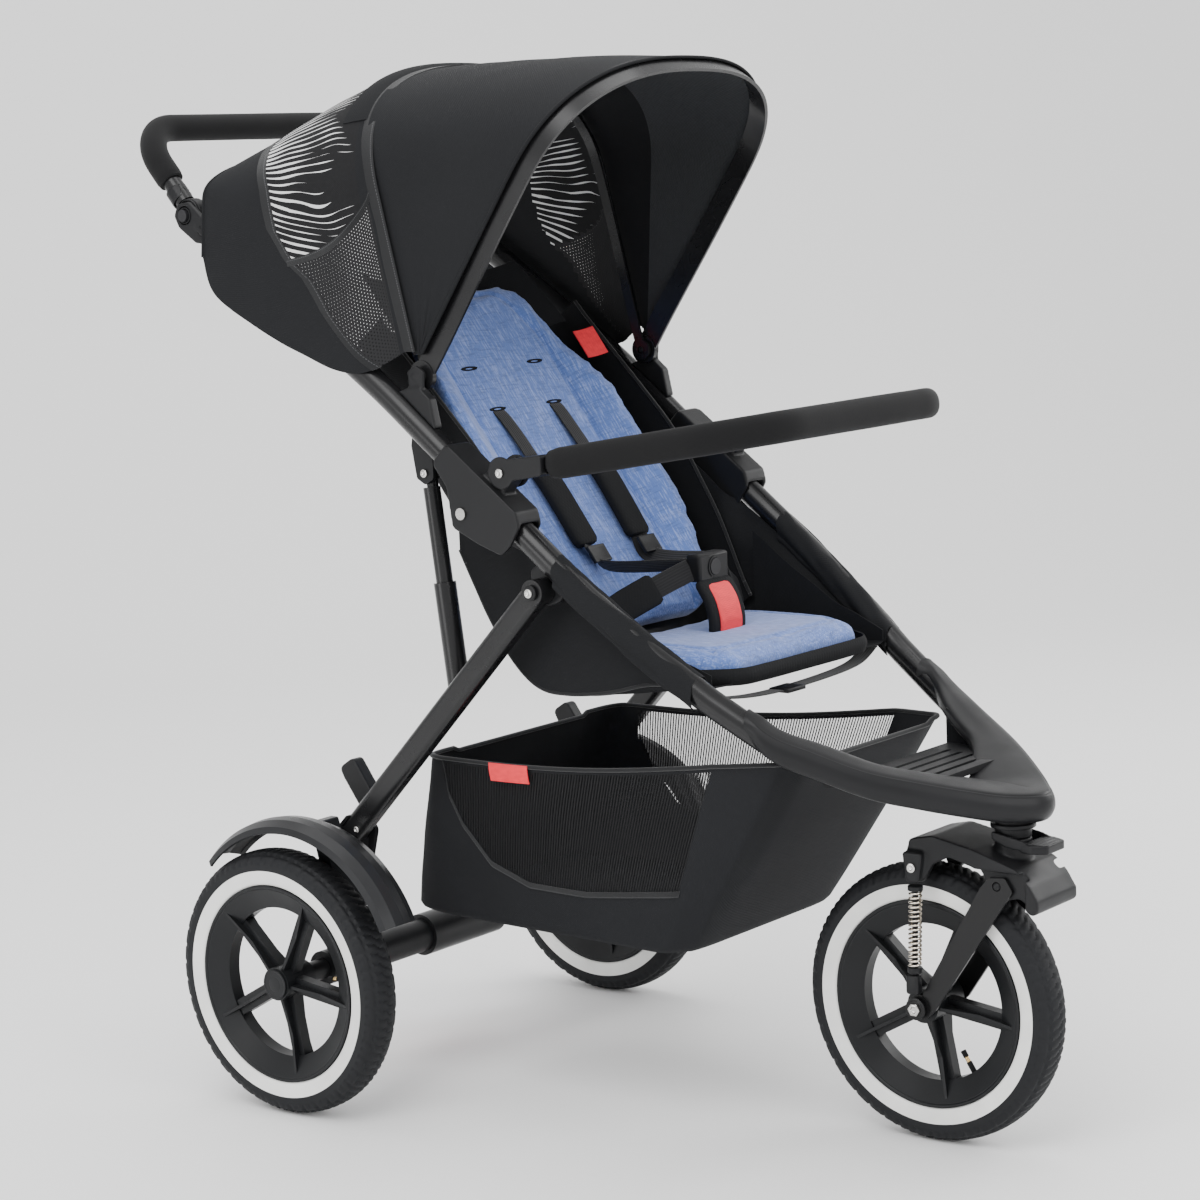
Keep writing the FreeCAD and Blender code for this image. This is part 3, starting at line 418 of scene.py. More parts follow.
def dished(piece, direction, rim, depth):
    """Insets the face that looks along a direction, leaving a rim, and moves it out by a depth."""
    face_towards(piece, direction)
    bpy.ops.mesh.inset(thickness=rim * MM, depth=depth * MM)
    bpy.ops.object.mode_set(mode="OBJECT")
    return piece


def stepped(piece, direction, steps):
    """Insets and pushes the end face by each (inset, push) pair, in millimetres."""
    face_towards(piece, direction)
    axis = Vector(direction).normalized()
    for inset, push in steps:
        bpy.ops.mesh.inset(thickness=inset * MM, depth=0)
        bpy.ops.transform.translate(value=axis * push * MM)
    bpy.ops.object.mode_set(mode="OBJECT")
    return settle(piece)


def rounded(piece, width, segments=2, angle=35):
    """Rounds the sharp edges by a width in millimetres."""
    return finish_with(piece, "BEVEL", width=width * MM, segments=segments, limit_method="ANGLE",
                       angle_limit=math.radians(angle))


def merged(name, pieces):
    """Joins several pieces into one."""
    fresh()
    for piece in pieces:
        piece.select_set(True)
    bpy.context.view_layer.objects.active = pieces[0]
    bpy.ops.object.join()
    return take(name)


def twin(piece, name):
    """A mirrored copy on the other side of the chair, with its own mesh."""
    copy = piece.copy()
    copy.data = piece.data.copy()
    copy.name = name
    copy.data.name = name
    bpy.context.scene.collection.objects.link(copy)
    copy.data.transform(Matrix.Scale(-1, 4, X_AXIS))
    copy.data.flip_normals()
    return copy


def painted(piece, *finishes):
    """Gives a piece its finishes, in the order of its face indices."""
    piece.data.materials.clear()
    for finish in finishes:
        piece.data.materials.append(finish)
    return piece


def done(piece, body, slot, *nodes):
    """Puts a finished piece on its body and hides the nodes that it stands for; the slot is not used."""
    if nodes:
        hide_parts(*nodes)
    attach(piece, body)
    return piece


# ---------------------------------------------------------------- shader groups

def feed(tree, socket, value):
    """Links a socket to another, or sets its value."""
    if isinstance(value, bpy.types.NodeSocket):
        tree.links.new(value, socket)
    else:
        socket.default_value = value


def node(tree, kind, given=None, **settings):
    """A shader node with its settings, input values and incoming links."""
    made = tree.nodes.new("ShaderNode" + kind)
    for key, value in settings.items():
        setattr(made, key, value)
    for key, value in (given or {}).items():
        feed(tree, made.inputs[key], value)
    return made


def maths(tree, operation, a, b=0.0, c=0.0):
    """One sum on sockets or numbers."""
    made = node(tree, "Math", {0: a, 1: b, 2: c}, operation=operation)
    return made.outputs[0]


def group(name, inputs, outputs):
    """An empty node group with its sockets; returns the tree, its givens and its results."""
    tree = bpy.data.node_groups.new(name, "ShaderNodeTree")
    for label, kind, default in inputs:
        socket = tree.interface.new_socket(label, in_out="INPUT", socket_type="NodeSocket" + kind)
        if default is not None:
            socket.default_value = default
    for label, kind in outputs:
        tree.interface.new_socket(label, in_out="OUTPUT", socket_type="NodeSocket" + kind)
    enter = tree.nodes.new("NodeGroupInput")
    leave = tree.nodes.new("NodeGroupOutput")
    return tree, enter.outputs, leave.inputs


def grain_group():
    """Fine grain for moulded, painted and foam surfaces, with a slow patchiness."""
    tree, given, put = group(
        "surface_grain",
        [("Vector", "Vector", None), ("Grain", "Float", 900.0), ("Patch", "Float", 14.0)],
        [("Height", "Float"), ("Patches", "Float"), ("Specks", "Float")])
    fine = node(tree, "TexNoise", {"Vector": given["Vector"], "Scale": given["Grain"],
                                   "Detail": 2.0, "Roughness": 0.55})
    slow = node(tree, "TexNoise", {"Vector": given["Vector"], "Scale": given["Patch"],
                                   "Detail": 3.0, "Roughness": 0.6})
    specks = node(tree, "MapRange", {"Value": fine.outputs["Fac"], "From Min": 0.66,
                                     "From Max": 0.78})
    tree.links.new(fine.outputs["Fac"], put["Height"])
    tree.links.new(slow.outputs["Fac"], put["Patches"])
    tree.links.new(specks.outputs["Result"], put["Specks"])
    return tree


def weave_group():
    """Plain woven cloth: over-and-under threads with uneven yarn."""
    tree, given, put = group(
        "plain_weave", [("Vector", "Vector", None), ("Threads", "Float", 520.0)],
        [("Height", "Float"), ("Shade", "Float")])
    split = node(tree, "SeparateXYZ", {"Vector": given["Vector"]})
    turn = maths(tree, "MULTIPLY", given["Threads"], math.pi)
    waves = [maths(tree, "SINE", maths(tree, "MULTIPLY", split.outputs[k], turn)) for k in (0, 1, 2)]
    flat = maths(tree, "MULTIPLY", waves[0], waves[1])
    deep = maths(tree, "MULTIPLY", waves[2], 0.25)
    yarn = node(tree, "TexNoise", {"Vector": given["Vector"], "Scale": 160.0, "Detail": 4.0,
                                   "Roughness": 0.65})
    height = maths(tree, "MULTIPLY_ADD", maths(tree, "ADD", flat, deep), 0.35, 0.5)
    tree.links.new(maths(tree, "ADD", height, yarn.outputs["Fac"]), put["Height"])
    shade = maths(tree, "MULTIPLY_ADD", flat, 0.18, yarn.outputs["Fac"])
    tree.links.new(shade, put["Shade"])
    return tree


def heather_group():
    """Mottled yarn: short streaks along both thread directions."""
    tree, given, put = group("heather_yarn", [("Vector", "Vector", None)],
                             [("Light", "Float"), ("Dark", "Float")])
    streaks = []
    for stretch in ((520.0, 60.0, 520.0), (60.0, 420.0, 60.0)):
        moved = node(tree, "Mapping", {"Vector": given["Vector"], "Scale": stretch})
        streak = node(tree, "TexNoise", {"Vector": moved.outputs[0], "Scale": 1.0, "Detail": 3.0,
                                         "Roughness": 0.6})
        streaks.append(streak.outputs["Fac"])
    light = node(tree, "MapRange", {"Value": streaks[0], "From Min": 0.48, "From Max": 0.70})
    dark = node(tree, "MapRange", {"Value": streaks[1], "From Min": 0.50, "From Max": 0.72})
    tree.links.new(light.outputs["Result"], put["Light"])
    tree.links.new(dark.outputs["Result"], put["Dark"])
    return tree


def dust_group():
    """Light dust that settles on what faces up, in uneven patches."""
    tree, given, put = group("settled_dust", [("Vector", "Vector", None), ("Normal", "Vector", None)],
                             [("Mask", "Float")])
    split = node(tree, "SeparateXYZ", {"Vector": given["Normal"]})
    up = node(tree, "MapRange", {"Value": split.outputs[2], "From Min": 0.2, "From Max": 1.0})
    patch = node(tree, "TexNoise", {"Vector": given["Vector"], "Scale": 45.0, "Detail": 6.0})
    tree.links.new(maths(tree, "MULTIPLY", up.outputs["Result"], patch.outputs["Fac"]), put["Mask"])
    return tree


GROUPS = {}


def shared(name):
    """The node group of that name, made the first time that it is wanted."""
    makers = {"grain": grain_group, "weave": weave_group, "heather": heather_group, "dust": dust_group}
    if name not in GROUPS:
        GROUPS[name] = makers[name]()
    return GROUPS[name]


def placed_group(tree, name, given):
    """A shared group placed in a material, with its own values."""
    made = tree.nodes.new("ShaderNodeGroup")
    made.node_tree = shared(name)
    for key, value in given.items():
        feed(tree, made.inputs[key], value)
    return made.outputs


# ---------------------------------------------------------------- finishes

FINISHES = {}
DULL_SPECULAR = 0.22
DUST_COLOUR = (0.22, 0.21, 0.20)


def blank(name, **values):
    """A material with a Principled shader and its plain values."""
    material = bpy.data.materials.new(name)
    material.use_nodes = True
    tree = material.node_tree
    shader = next(n for n in tree.nodes if n.type == "BSDF_PRINCIPLED")
    shader.inputs["Specular IOR Level"].default_value = DULL_SPECULAR
    for key, value in values.items():
        shader.inputs[key.replace("_", " ")].default_value = value
    FINISHES[name] = material
    return tree, shader


def coordinates(tree, uv=False, turn=0.0):
    """Object coordinates or the piece's own UV map, turned about X where a pattern leans."""
    source = node(tree, "TexCoord").outputs["UV" if uv else "Object"]
    if turn:
        source = node(tree, "Mapping", {"Vector": source, "Rotation": (turn, 0, 0)}).outputs[0]
    return source


def mixed(tree, factor, a, b):
    """A colour between two colours or colour sockets."""
    made = node(tree, "Mix", {"Factor": factor}, data_type="RGBA")
    for socket, value in ((made.inputs[6], a), (made.inputs[7], b)):
        feed(tree, socket, (*value[:3], 1.0) if isinstance(value, tuple) else value)
    return made.outputs[2]


def bumped(tree, shader, height, strength, distance):
    """Drives the shader's normal from a height."""
    bump = node(tree, "Bump", {"Height": height, "Strength": strength, "Distance": distance})
    tree.links.new(bump.outputs[0], shader.inputs["Normal"])


def scaled(colour, k):
    """A colour made lighter or darker."""
    return tuple(min(c * k, 1.0) for c in colour)


def moulding(name, colour, rough, grain=900.0, depth=0.25, spread=0.08, dust=0.0, **values):
    """A moulded, painted or plated surface with its grain, patchy gloss and settled dust."""
    tree, shader = blank(name, **values)
    vector = coordinates(tree)
    grains = placed_group(tree, "grain", {"Vector": vector, "Grain": grain})
    tone = mixed(tree, grains["Patches"], scaled(colour, 0.78), scaled(colour, 1.22))
    tone = mixed(tree, maths(tree, "MULTIPLY", grains["Specks"], 0.25), tone, scaled(colour, 2.2))
    if dust:
        normal = node(tree, "NewGeometry").outputs["Normal"]
        mask = placed_group(tree, "dust", {"Vector": vector, "Normal": normal})["Mask"]
        tone = mixed(tree, maths(tree, "MULTIPLY", mask, dust), tone, DUST_COLOUR)
    tree.links.new(tone, shader.inputs["Base Color"])
    gloss = node(tree, "MapRange", {"Value": grains["Patches"], "From Min": 0.3, "From Max": 0.7,
                                    "To Min": rough - spread, "To Max": rough + spread})
    tree.links.new(gloss.outputs["Result"], shader.inputs["Roughness"])
    bumped(tree, shader, grains["Height"], depth, 0.0003)
    return FINISHES[name]


def keep_colour_behind(name, limit):
    """Keeps a moulding's colour only behind a place along the chair; the rest of it is black."""
    tree = FINISHES[name].node_tree
    shader = next(n for n in tree.nodes if n.type == "BSDF_PRINCIPLED")
    split = node(tree, "SeparateXYZ", {"Vector": coordinates(tree)})
    behind = maths(tree, "GREATER_THAN", split.outputs[1], limit)
    tone = shader.inputs["Base Color"].links[0].from_socket
    tree.links.new(mixed(tree, behind, (0.011, 0.011, 0.012), tone), shader.inputs["Base Color"])


def cloth(name, colour, rough=0.85, threads=520.0, depth=0.5, uv=True, turn=0.0, **values):
    """Woven cloth with uneven yarn and a soft sheen."""
    tree, shader = blank(name, **values)
    vector = coordinates(tree, uv, turn)
    woven = placed_group(tree, "weave", {"Vector": vector, "Threads": threads})
    slow = node(tree, "TexNoise", {"Vector": coordinates(tree), "Scale": 9.0, "Detail": 3.0})
    tone = mixed(tree, woven["Shade"], scaled(colour, 0.6), scaled(colour, 1.5))
    tone = mixed(tree, maths(tree, "MULTIPLY", slow.outputs["Fac"], 0.35), tone, scaled(colour, 1.7))
    tree.links.new(tone, shader.inputs["Base Color"])
    gloss = node(tree, "MapRange", {"Value": woven["Shade"], "To Min": rough - 0.08,
                                    "To Max": rough + 0.06})
    tree.links.new(gloss.outputs["Result"], shader.inputs["Roughness"])
    bumped(tree, shader, woven["Height"], depth, 0.0005)
    return FINISHES[name]


def stitched(name, colour, pitch=0.0032, rows=(0.0028, 0.0122), thread=(0.055, 0.056, 0.06)):
    """Tape or webbing with rows of stitches; the UV map's first number runs along the tape."""
    tree, shader = blank(name, Roughness=0.78, Sheen_Weight=0.2)
    split = node(tree, "SeparateXYZ", {"Vector": coordinates(tree, True)})
    dash = maths(tree, "SINE", maths(tree, "MULTIPLY", split.outputs[0], 2 * math.pi / pitch))
    dash = maths(tree, "GREATER_THAN", dash, -0.35)
    line = 0.0
    for row in rows:
        near = maths(tree, "ABSOLUTE", maths(tree, "SUBTRACT", split.outputs[1], row))
        line = maths(tree, "ADD", line, maths(tree, "LESS_THAN", near, 0.0005))
    stitch = maths(tree, "MULTIPLY", dash, line)
    rib = maths(tree, "SINE", maths(tree, "MULTIPLY", split.outputs[0], 2 * math.pi / 0.0011))
    tone = mixed(tree, maths(tree, "MULTIPLY_ADD", rib, 0.25, 0.5), scaled(colour, 0.6),
                 scaled(colour, 1.35))
    tree.links.new(mixed(tree, stitch, tone, thread), shader.inputs["Base Color"])
    bumped(tree, shader, maths(tree, "ADD", maths(tree, "MULTIPLY", rib, 0.3), stitch), 0.5, 0.0006)
    return FINISHES[name]


def netting(name, colour, pitch, hole, ribbed=False):
    """See-through net: round holes in a staggered grid, or narrow slots between ribs."""
    tree, shader = blank(name, Roughness=0.7)
    split = node(tree, "SeparateXYZ", {"Vector": coordinates(tree, True)})
    x = maths(tree, "DIVIDE", split.outputs[0], pitch)
    y = maths(tree, "DIVIDE", split.outputs[1], pitch * (0.42 if ribbed else 0.87))
    row = maths(tree, "FLOOR", y)
    shift = maths(tree, "MULTIPLY", maths(tree, "MODULO", row, 2.0), 0.0 if ribbed else 0.5)
    dx = maths(tree, "SUBTRACT", maths(tree, "FRACT", maths(tree, "ADD", x, shift)), 0.5)
    dy = maths(tree, "SUBTRACT", maths(tree, "FRACT", y), 0.5)
    if ribbed:
        reach = maths(tree, "ABSOLUTE", dx)
        solid = maths(tree, "MAXIMUM", maths(tree, "GREATER_THAN", reach, 0.37),
                      maths(tree, "GREATER_THAN", maths(tree, "ABSOLUTE", dy), 0.41))
    else:
        reach = maths(tree, "SQRT", maths(tree, "ADD", maths(tree, "MULTIPLY", dx, dx),
                                          maths(tree, "MULTIPLY", dy, dy)))
        solid = maths(tree, "GREATER_THAN", reach, hole)
    tree.links.new(solid, shader.inputs["Alpha"])
    tone = mixed(tree, reach, scaled(colour, 0.8), scaled(colour, 1.6))
    tree.links.new(tone, shader.inputs["Base Color"])
    bumped(tree, shader, reach, 0.4, 0.0005)
    return FINISHES[name]


def heather(name, colour, turn):
    """Blue mottled cloth of the seat liner."""
    tree, shader = blank(name, Roughness=0.88, Sheen_Weight=0.35, Sheen_Roughness=0.5)
    vector = coordinates(tree, False, turn)
    woven = placed_group(tree, "weave", {"Vector": vector, "Threads": 560.0})
    yarn = placed_group(tree, "heather", {"Vector": vector})
    tone = mixed(tree, maths(tree, "MULTIPLY", yarn["Light"], 0.75), colour,
                 (0.34, 0.43, 0.76))
    tone = mixed(tree, maths(tree, "MULTIPLY", yarn["Dark"], 0.6), tone, scaled(colour, 0.42))
    tone = mixed(tree, maths(tree, "MULTIPLY", woven["Shade"], 0.25), tone, scaled(colour, 0.7))
    tree.links.new(tone, shader.inputs["Base Color"])
    bumped(tree, shader, woven["Height"], 0.55, 0.0005)
    return FINISHES[name]


def striped(name, colour):
    """Black panel printed with thin pale wavy stripes."""
    tree, shader = blank(name, Roughness=0.8)
    vector = coordinates(tree, True)
    bent = node(tree, "TexNoise", {"Vector": vector, "Scale": 9.0, "Detail": 1.0})
    split = node(tree, "SeparateXYZ", {"Vector": vector})
    wave = maths(tree, "MULTIPLY_ADD", bent.outputs["Fac"], 0.045, split.outputs[0])
    stripe = maths(tree, "FRACT", maths(tree, "DIVIDE", wave, 0.0105))
    width = node(tree, "TexNoise", {"Vector": vector, "Scale": 26.0, "Detail": 0.0})
    fade = node(tree, "MapRange", {"Value": split.outputs[1], "From Min": 0.02,
                                   "From Max": 0.17, "To Min": -0.30, "To Max": 0.22})
    edge = node(tree, "MapRange", {"Value": width.outputs["Fac"], "From Min": 0.30,
                                   "From Max": 0.70, "To Min": 0.0, "To Max": 0.32})
    pale = maths(tree, "LESS_THAN", stripe,
                 maths(tree, "ADD", edge.outputs["Result"], fade.outputs["Result"]))
    woven = placed_group(tree, "weave", {"Vector": vector, "Threads": 700.0})
    dark = mixed(tree, woven["Shade"], scaled(colour, 0.5), scaled(colour, 1.3))
    tree.links.new(mixed(tree, pale, dark, (0.62, 0.62, 0.62)), shader.inputs["Base Color"])
    bumped(tree, shader, woven["Height"], 0.4, 0.0004)
    return FINISHES[name]


def make_finishes(looks):
    """Every finish of the chair, by name."""
    black = tuple(looks.cloth_colour)
    moulding("satin_black", (0.0075, 0.0075, 0.0082), 0.28, grain=1600, depth=0.06,
             Coat_Weight=0.25, Coat_Roughness=0.25)
    moulding("grained_black", (0.0080, 0.0082, 0.0092), 0.42, grain=1300, depth=0.35, dust=0.02)
    moulding("button_grey", (0.020, 0.020, 0.022), 0.36, grain=1300, depth=0.1)
    moulding("guard_grey", (0.014, 0.0145, 0.016), 0.34, grain=1500, depth=0.12, dust=0.05)
    moulding("rim_black", (0.0075, 0.008, 0.009), 0.38, grain=1200, depth=0.15, dust=0.02)
    moulding("tyre_black", (0.0085, 0.009, 0.0105), 0.60, grain=700, depth=0.3, dust=0.03)
    moulding("tyre_band", tuple(looks.band_colour), 0.55, grain=700, depth=0.1)
    moulding("painted_steel", (0.0085, 0.0085, 0.009), 0.34, grain=1500, depth=0.08)
    moulding("bright_steel", (0.62, 0.61, 0.59), 0.24, grain=800, depth=0.05, Metallic=1.0)
    moulding("spring_wire", (0.78, 0.70, 0.60), 0.20, grain=800, depth=0.05, Metallic=1.0)
    moulding("brass", (0.72, 0.50, 0.22), 0.28, grain=800, depth=0.05, Metallic=1.0)
    moulding("foam_black", (0.0055, 0.0055, 0.006), 0.93, grain=620, depth=0.9, spread=0.04,
             Sheen_Weight=0.05)
    moulding("pedal_red", (0.55, 0.02, 0.02), 0.35, grain=1200, depth=0.15)
    keep_colour_behind("pedal_red", at(0, 305, 0).y)
    cloth("canopy_cloth", black, threads=620)
    cloth("seat_cloth", scaled(black, 0.85), threads=560)
    cloth("basket_cloth", scaled(black, 1.15), threads=560)
    cloth("lining_black", scaled(black, 0.5), threads=500)
    cloth("lining_grey", (0.026, 0.027, 0.028), threads=300, depth=0.8)
    cloth("pad_black", scaled(black, 0.75), threads=420, uv=False)
    cloth("tag_red", tuple(looks.tag_colour), rough=0.6, threads=900, depth=0.3)
    heather("liner_seat_blue", tuple(looks.liner_colour), 0.0)
    heather("liner_back_blue", tuple(looks.liner_colour), -SEAT_LEAN)
    stitched("webbing", (0.010, 0.010, 0.011))
    stitched("seam_tape", scaled(black, 0.9), rows=(0.0028, 0.0192))
    netting("window_net", (0.010, 0.010, 0.011), 0.0044, 0.17)
    netting("basket_net", (0.011, 0.011, 0.012), 0.0046, 0.0, ribbed=True)
    striped("stripe_print", (0.008, 0.008, 0.009))


NODE_FINISH = {
    "satin_black": ("lower_rail_left", "lower_rail_right", "upper_rail_left", "upper_rail_right",
                    "rear_leg_left", "rear_leg_right", "handle_tube", "canopy_front_bow",
                    "canopy_mid_bow", "bumper_tube", "strut_left", "strut_right"),
    "grained_black": ("nose_housing", "footrest", "lower_rail_ends", "leg_brackets", "strut_plates",
                      "canopy_clips", "handle_forks", "handle_hubs", "axle_housing", "leg_shoes",
                      "leg_paddles", "fork_crown", "swivel_lock", "fold_housing_left",
                      "fold_housing_right", "bumper_arms", "seat_board"),
    "button_grey": ("handle_button_left", "handle_button_right", "buckle_button"),
    "guard_grey": ("mudguard_left", "mudguard_right"),
    "rim_black": ("front_rim", "rear_rim_left", "rear_rim_right"),
    "painted_steel": ("axle_pins", "seat_hinge_rod", "suspension_arm"),
    "bright_steel": ("fold_screws", "steerer"),
    "pedal_red": ("brake_pedal",),
}


def finish_frame():
    """Gives every shown node of the frame its finish."""
    for finish, names in NODE_FINISH.items():
        for name in names:
            cad = frame["nodes"][name]
            cad.data.materials.clear()
            cad.data.materials.append(FINISHES[finish])


# ---------------------------------------------------------------- mouldings

MOULDING_VOXEL = 1.4 * MM
MOULDING_GAP = 0.35 * MM
# solid, body and rounds of smoothing
MOULDINGS = (("fork_crown", "fork", 14), ("fold_housing_left", "upper_frame", 9),
             ("fold_housing_right", "upper_frame", 9), ("canopy_clips", "upper_frame", 4),
             ("handle_forks", "upper_frame", 5), ("handle_hubs", "handlebar", 4),
             ("leg_paddles", "rear_legs", 6), ("bumper_arms", "bumper_bar", 4),
             ("leg_brackets", "front_frame", 5), ("swivel_lock", "swivel_lock", 3))


def grown(node_name, name, gap, voxel, rounds):
    """A piece grown from one of the frame's solids: evenly remeshed, then smoothed some rounds."""
    piece = bpy.data.objects.new(name, frame["nodes"][node_name].data.copy())
    piece.data.name = name
    bpy.context.scene.collection.objects.link(piece)
    weld(piece, gap=gap)
    finish_with(piece, "REMESH", mode="VOXEL", voxel_size=voxel)
    return finish_with(piece, "SMOOTH", factor=0.5, iterations=rounds)


def make_mouldings():
    """Plastic mouldings with softly rounded edges, set in a little so that joints keep their gaps."""
    for name, body, rounds in MOULDINGS:
        piece = grown(name, name + "_moulding", 0.02 * MM, MOULDING_VOXEL, rounds)
        finish_with(piece, "DISPLACE", strength=-MOULDING_GAP, mid_level=0.0)
        done(soften(painted(piece, FINISHES["grained_black"]), 80), body, "moulded_plastic", name)


# ---------------------------------------------------------------- wheels

TYRE_PROFILE = [(-17.2, 113.2), (-19.6, 115.0), (-20.9, 118.0), (-21.8, 123.0), (-22.3, 128.0),
                (-22.4, 130.6), (-23.0, 131.6), (-23.0, 136.0), (-22.9, 139.0), (-21.7, 143.0),
                (-19.2, 146.6), (-15.4, 149.6), (-10.5, 151.4), (-5.0, 152.3), (0.0, 152.5)]
BAND_INNER = 114.4
BAND_OUTER = 131.0
BAND_SIDE = 16.5
TREAD_FOOT = 138.0
TREAD_HEIGHT = 14.5
BLOCKS = 44


def groove(turn, across):
    """Depth, 0 to 1, of the tread's curved grooves at an angle and a place across the tyre."""
    reach = abs(across)
    side = 1 if across > 0 else 0
    phase = turn * BLOCKS + 0.5 * side
    bend = 0.55 * math.sin(reach * 2.6) + 0.25 * reach
    cut = abs((phase + bend) % 1.0 - 0.5)
    cross = 1 - smooth(0.05, 0.13, cut)
    ring = 1 - smooth(0.03, 0.07, abs(reach - 0.30))
    hook = abs((phase * 2 + 1.2 * reach) % 1.0 - 0.5)
    small = (1 - smooth(0.06, 0.16, hook)) * (0.62 < reach < 0.85)
    centre = (1 - smooth(0.10, 0.2, abs((phase * 2 + 3 * across) % 1.0 - 0.5))) * (reach < 0.2)
    return max(cross * (reach > 0.24), ring, small, 0.7 * centre)


def tyre_piece(name, x, centre, depth):
    """Air tyre with cut tread blocks and a pale band round each side."""
    outer = TYRE_PROFILE + [(-p[0], p[1]) for p in reversed(TYRE_PROFILE[:-1])]
    inner = [(12.0, 113.2), (14.0, 122.0), (12.0, 138.0), (0.0, 145.0), (-12.0, 138.0), (-14.0, 122.0),
             (-12.0, 113.2)]
    line = [Vector(p) for p in outer]
    steps = 56
    rows = [spline(line, k / steps) for k in range(steps + 1)] + [Vector(p) for p in inner]
    count = len(rows)

    def place(u, v):
        k = min(int(round(v * count)), count)
        p = rows[k % count]
        r = p.y
        if k <= steps and r > TREAD_FOOT:
            wide = (r - TREAD_FOOT) / TREAD_HEIGHT
            across = math.copysign(1 - wide * 0.92, p.x) if abs(p.x) > 0.2 else 0.0
            r -= depth / MM * groove(u, across) * smooth(TREAD_FOOT, TREAD_FOOT + 3.0, r)
        a = 2 * math.pi * u
        return Vector((x + p.x * MM, centre.y + math.cos(a) * r * MM, centre.z + math.sin(a) * r * MM))

    piece = skin(name, 440, count, place, size=(0.95, 0.12))
    painted(weld(piece), FINISHES["tyre_black"], FINISHES["tyre_band"])
    for face in piece.data.polygons:
        mid = face.center
        r = math.hypot(mid.y - centre.y, mid.z - centre.z) / MM
        pale = BAND_INNER < r < BAND_OUTER and abs(mid.x - x) > BAND_SIDE * MM
        face.material_index = 1 if pale else 0
    return soften(piece, 35)


def make_tyres(looks):
    """The three air tyres."""
    front = PIVOT["front_wheel_spin"]
    rear = PIVOT["rear_wheel_left_spin"]
    depth = looks.tread_depth
    done(tyre_piece("front_air_tyre", 0.0, front, depth), "front_wheel", "tyre_rubber", "front_tyre")
    left = tyre_piece("rear_air_tyre_left", rear.x, rear, depth)
    right = twin(left, "rear_air_tyre_right")
    done(left, "rear_wheel_left", "tyre_rubber", "rear_tyre_left")
    done(right, "rear_wheel_right", "tyre_rubber", "rear_tyre_right")


def rim_lip(name, x, centre):
    """Rolled lips of a rim, with a shallow bead between dish and tyre."""
    line = [Vector(p) for p in [(-20.6, 113.6), (-20.9, 111.6), (-19.9, 109.9), (-17.0, 108.6),
                                (-15.0, 110.6), (-16.6, 112.8)]]

    def lip(side):
        def place(u, v):
            p = spline(line + [line[0]], v)
            a = 2 * math.pi * u
            return Vector((x + side * p.x * MM, centre.y + math.cos(a) * p.y * MM,
                           centre.z + math.sin(a) * p.y * MM))
        return weld(skin(name, 128, 14, place))

    return soften(painted(merged(name, [lip(1), lip(-1)]), FINISHES["rim_black"]), 50)


def valve(name, x, centre, degrees):
    """Brass valve stem with a black cap, from the rim towards the hub."""
    a = math.radians(degrees)
    out = Vector((0, math.cos(a), math.sin(a)))
    foot = Vector((x, centre.y, centre.z)) + out * 87 * MM
    turn = Vector((0, 0, 1)).rotation_difference(-out).to_euler()
    parts = []
    for start, length, radius, finish in ((0, 13, 3.0, "foam_black"), (11, 9, 2.3, "brass"),
                                          (18.5, 8, 3.0, "foam_black")):
        fresh()
        bpy.ops.mesh.primitive_cylinder_add(
            vertices=20, radius=radius * MM, depth=length * MM, rotation=turn,
            location=foot - out * (start + length / 2) * MM)
        part = settle(take(name + "_part"))
        rounded(part, 0.5, 2)
        parts.append(painted(part, FINISHES[finish]))
    return soften(merged(name, parts))


def make_wheel_details():
    """Rim lips, valves, hub caps and the front axle's bolts."""
    front = PIVOT["front_wheel_spin"]
    rear = PIVOT["rear_wheel_left_spin"]
    rear_x = rear.x / MM
    done(rim_lip("front_rim_lips", 0.0, front), "front_wheel", "rim_plastic")
    left = rim_lip("rear_rim_lips_left", rear.x, rear)
    done(twin(left, "rear_rim_lips_right"), "rear_wheel_right", "rim_plastic")
    done(left, "rear_wheel_left", "rim_plastic")
    done(valve("front_valve", 0.0, front, -122), "front_wheel", "steel")
    done(valve("rear_valve_left", rear.x - 0.004, rear, 172), "rear_wheel_left", "steel")
    done(valve("rear_valve_right", -rear.x + 0.004, rear, 172), "rear_wheel_right", "steel")
    for name, side in SIDES:
        cap = cylinder("hub_cap_" + name, (side * (rear_x + 21.6), *REAR_AXLE), (side, 0, 0), 17.0, 3.0,
                       48)
        stepped(cap, (side, 0, 0), [(2.2, 0), (0.8, -1.0), (5.0, 0), (0.8, 0.8)])
        done(soften(painted(rounded(cap, 0.4), FINISHES["rim_black"])), "rear_wheel_" + name,
             "rim_plastic")
        washer = cylinder("axle_washer_" + name, (side * 41.6, *FRONT_AXLE), (side, 0, 0), 12.0, 1.6, 40)
        stepped(washer, (side, 0, 0), [(2.5, 0), (0.4, 0.5)])
        bolt = cylinder("axle_bolt_" + name, (side * 43.6, *FRONT_AXLE), (side, 0, 0), 7.4, 5.0, 6)
        stepped(bolt, (side, 0, 0), [(1.6, 0.6), (1.4, 0), (0.5, -1.6)])
        head = merged("axle_bolt_" + name, [painted(rounded(washer, 0.3), FINISHES["painted_steel"]),
                                            painted(rounded(bolt, 0.4), FINISHES["bright_steel"])])
        done(soften(head, 30), "suspension_arm", "steel")


# ---------------------------------------------------------------- springs

SPRING_X = 44.5
COIL_RADIUS = 6.4
WIRE_RADIUS = 1.15


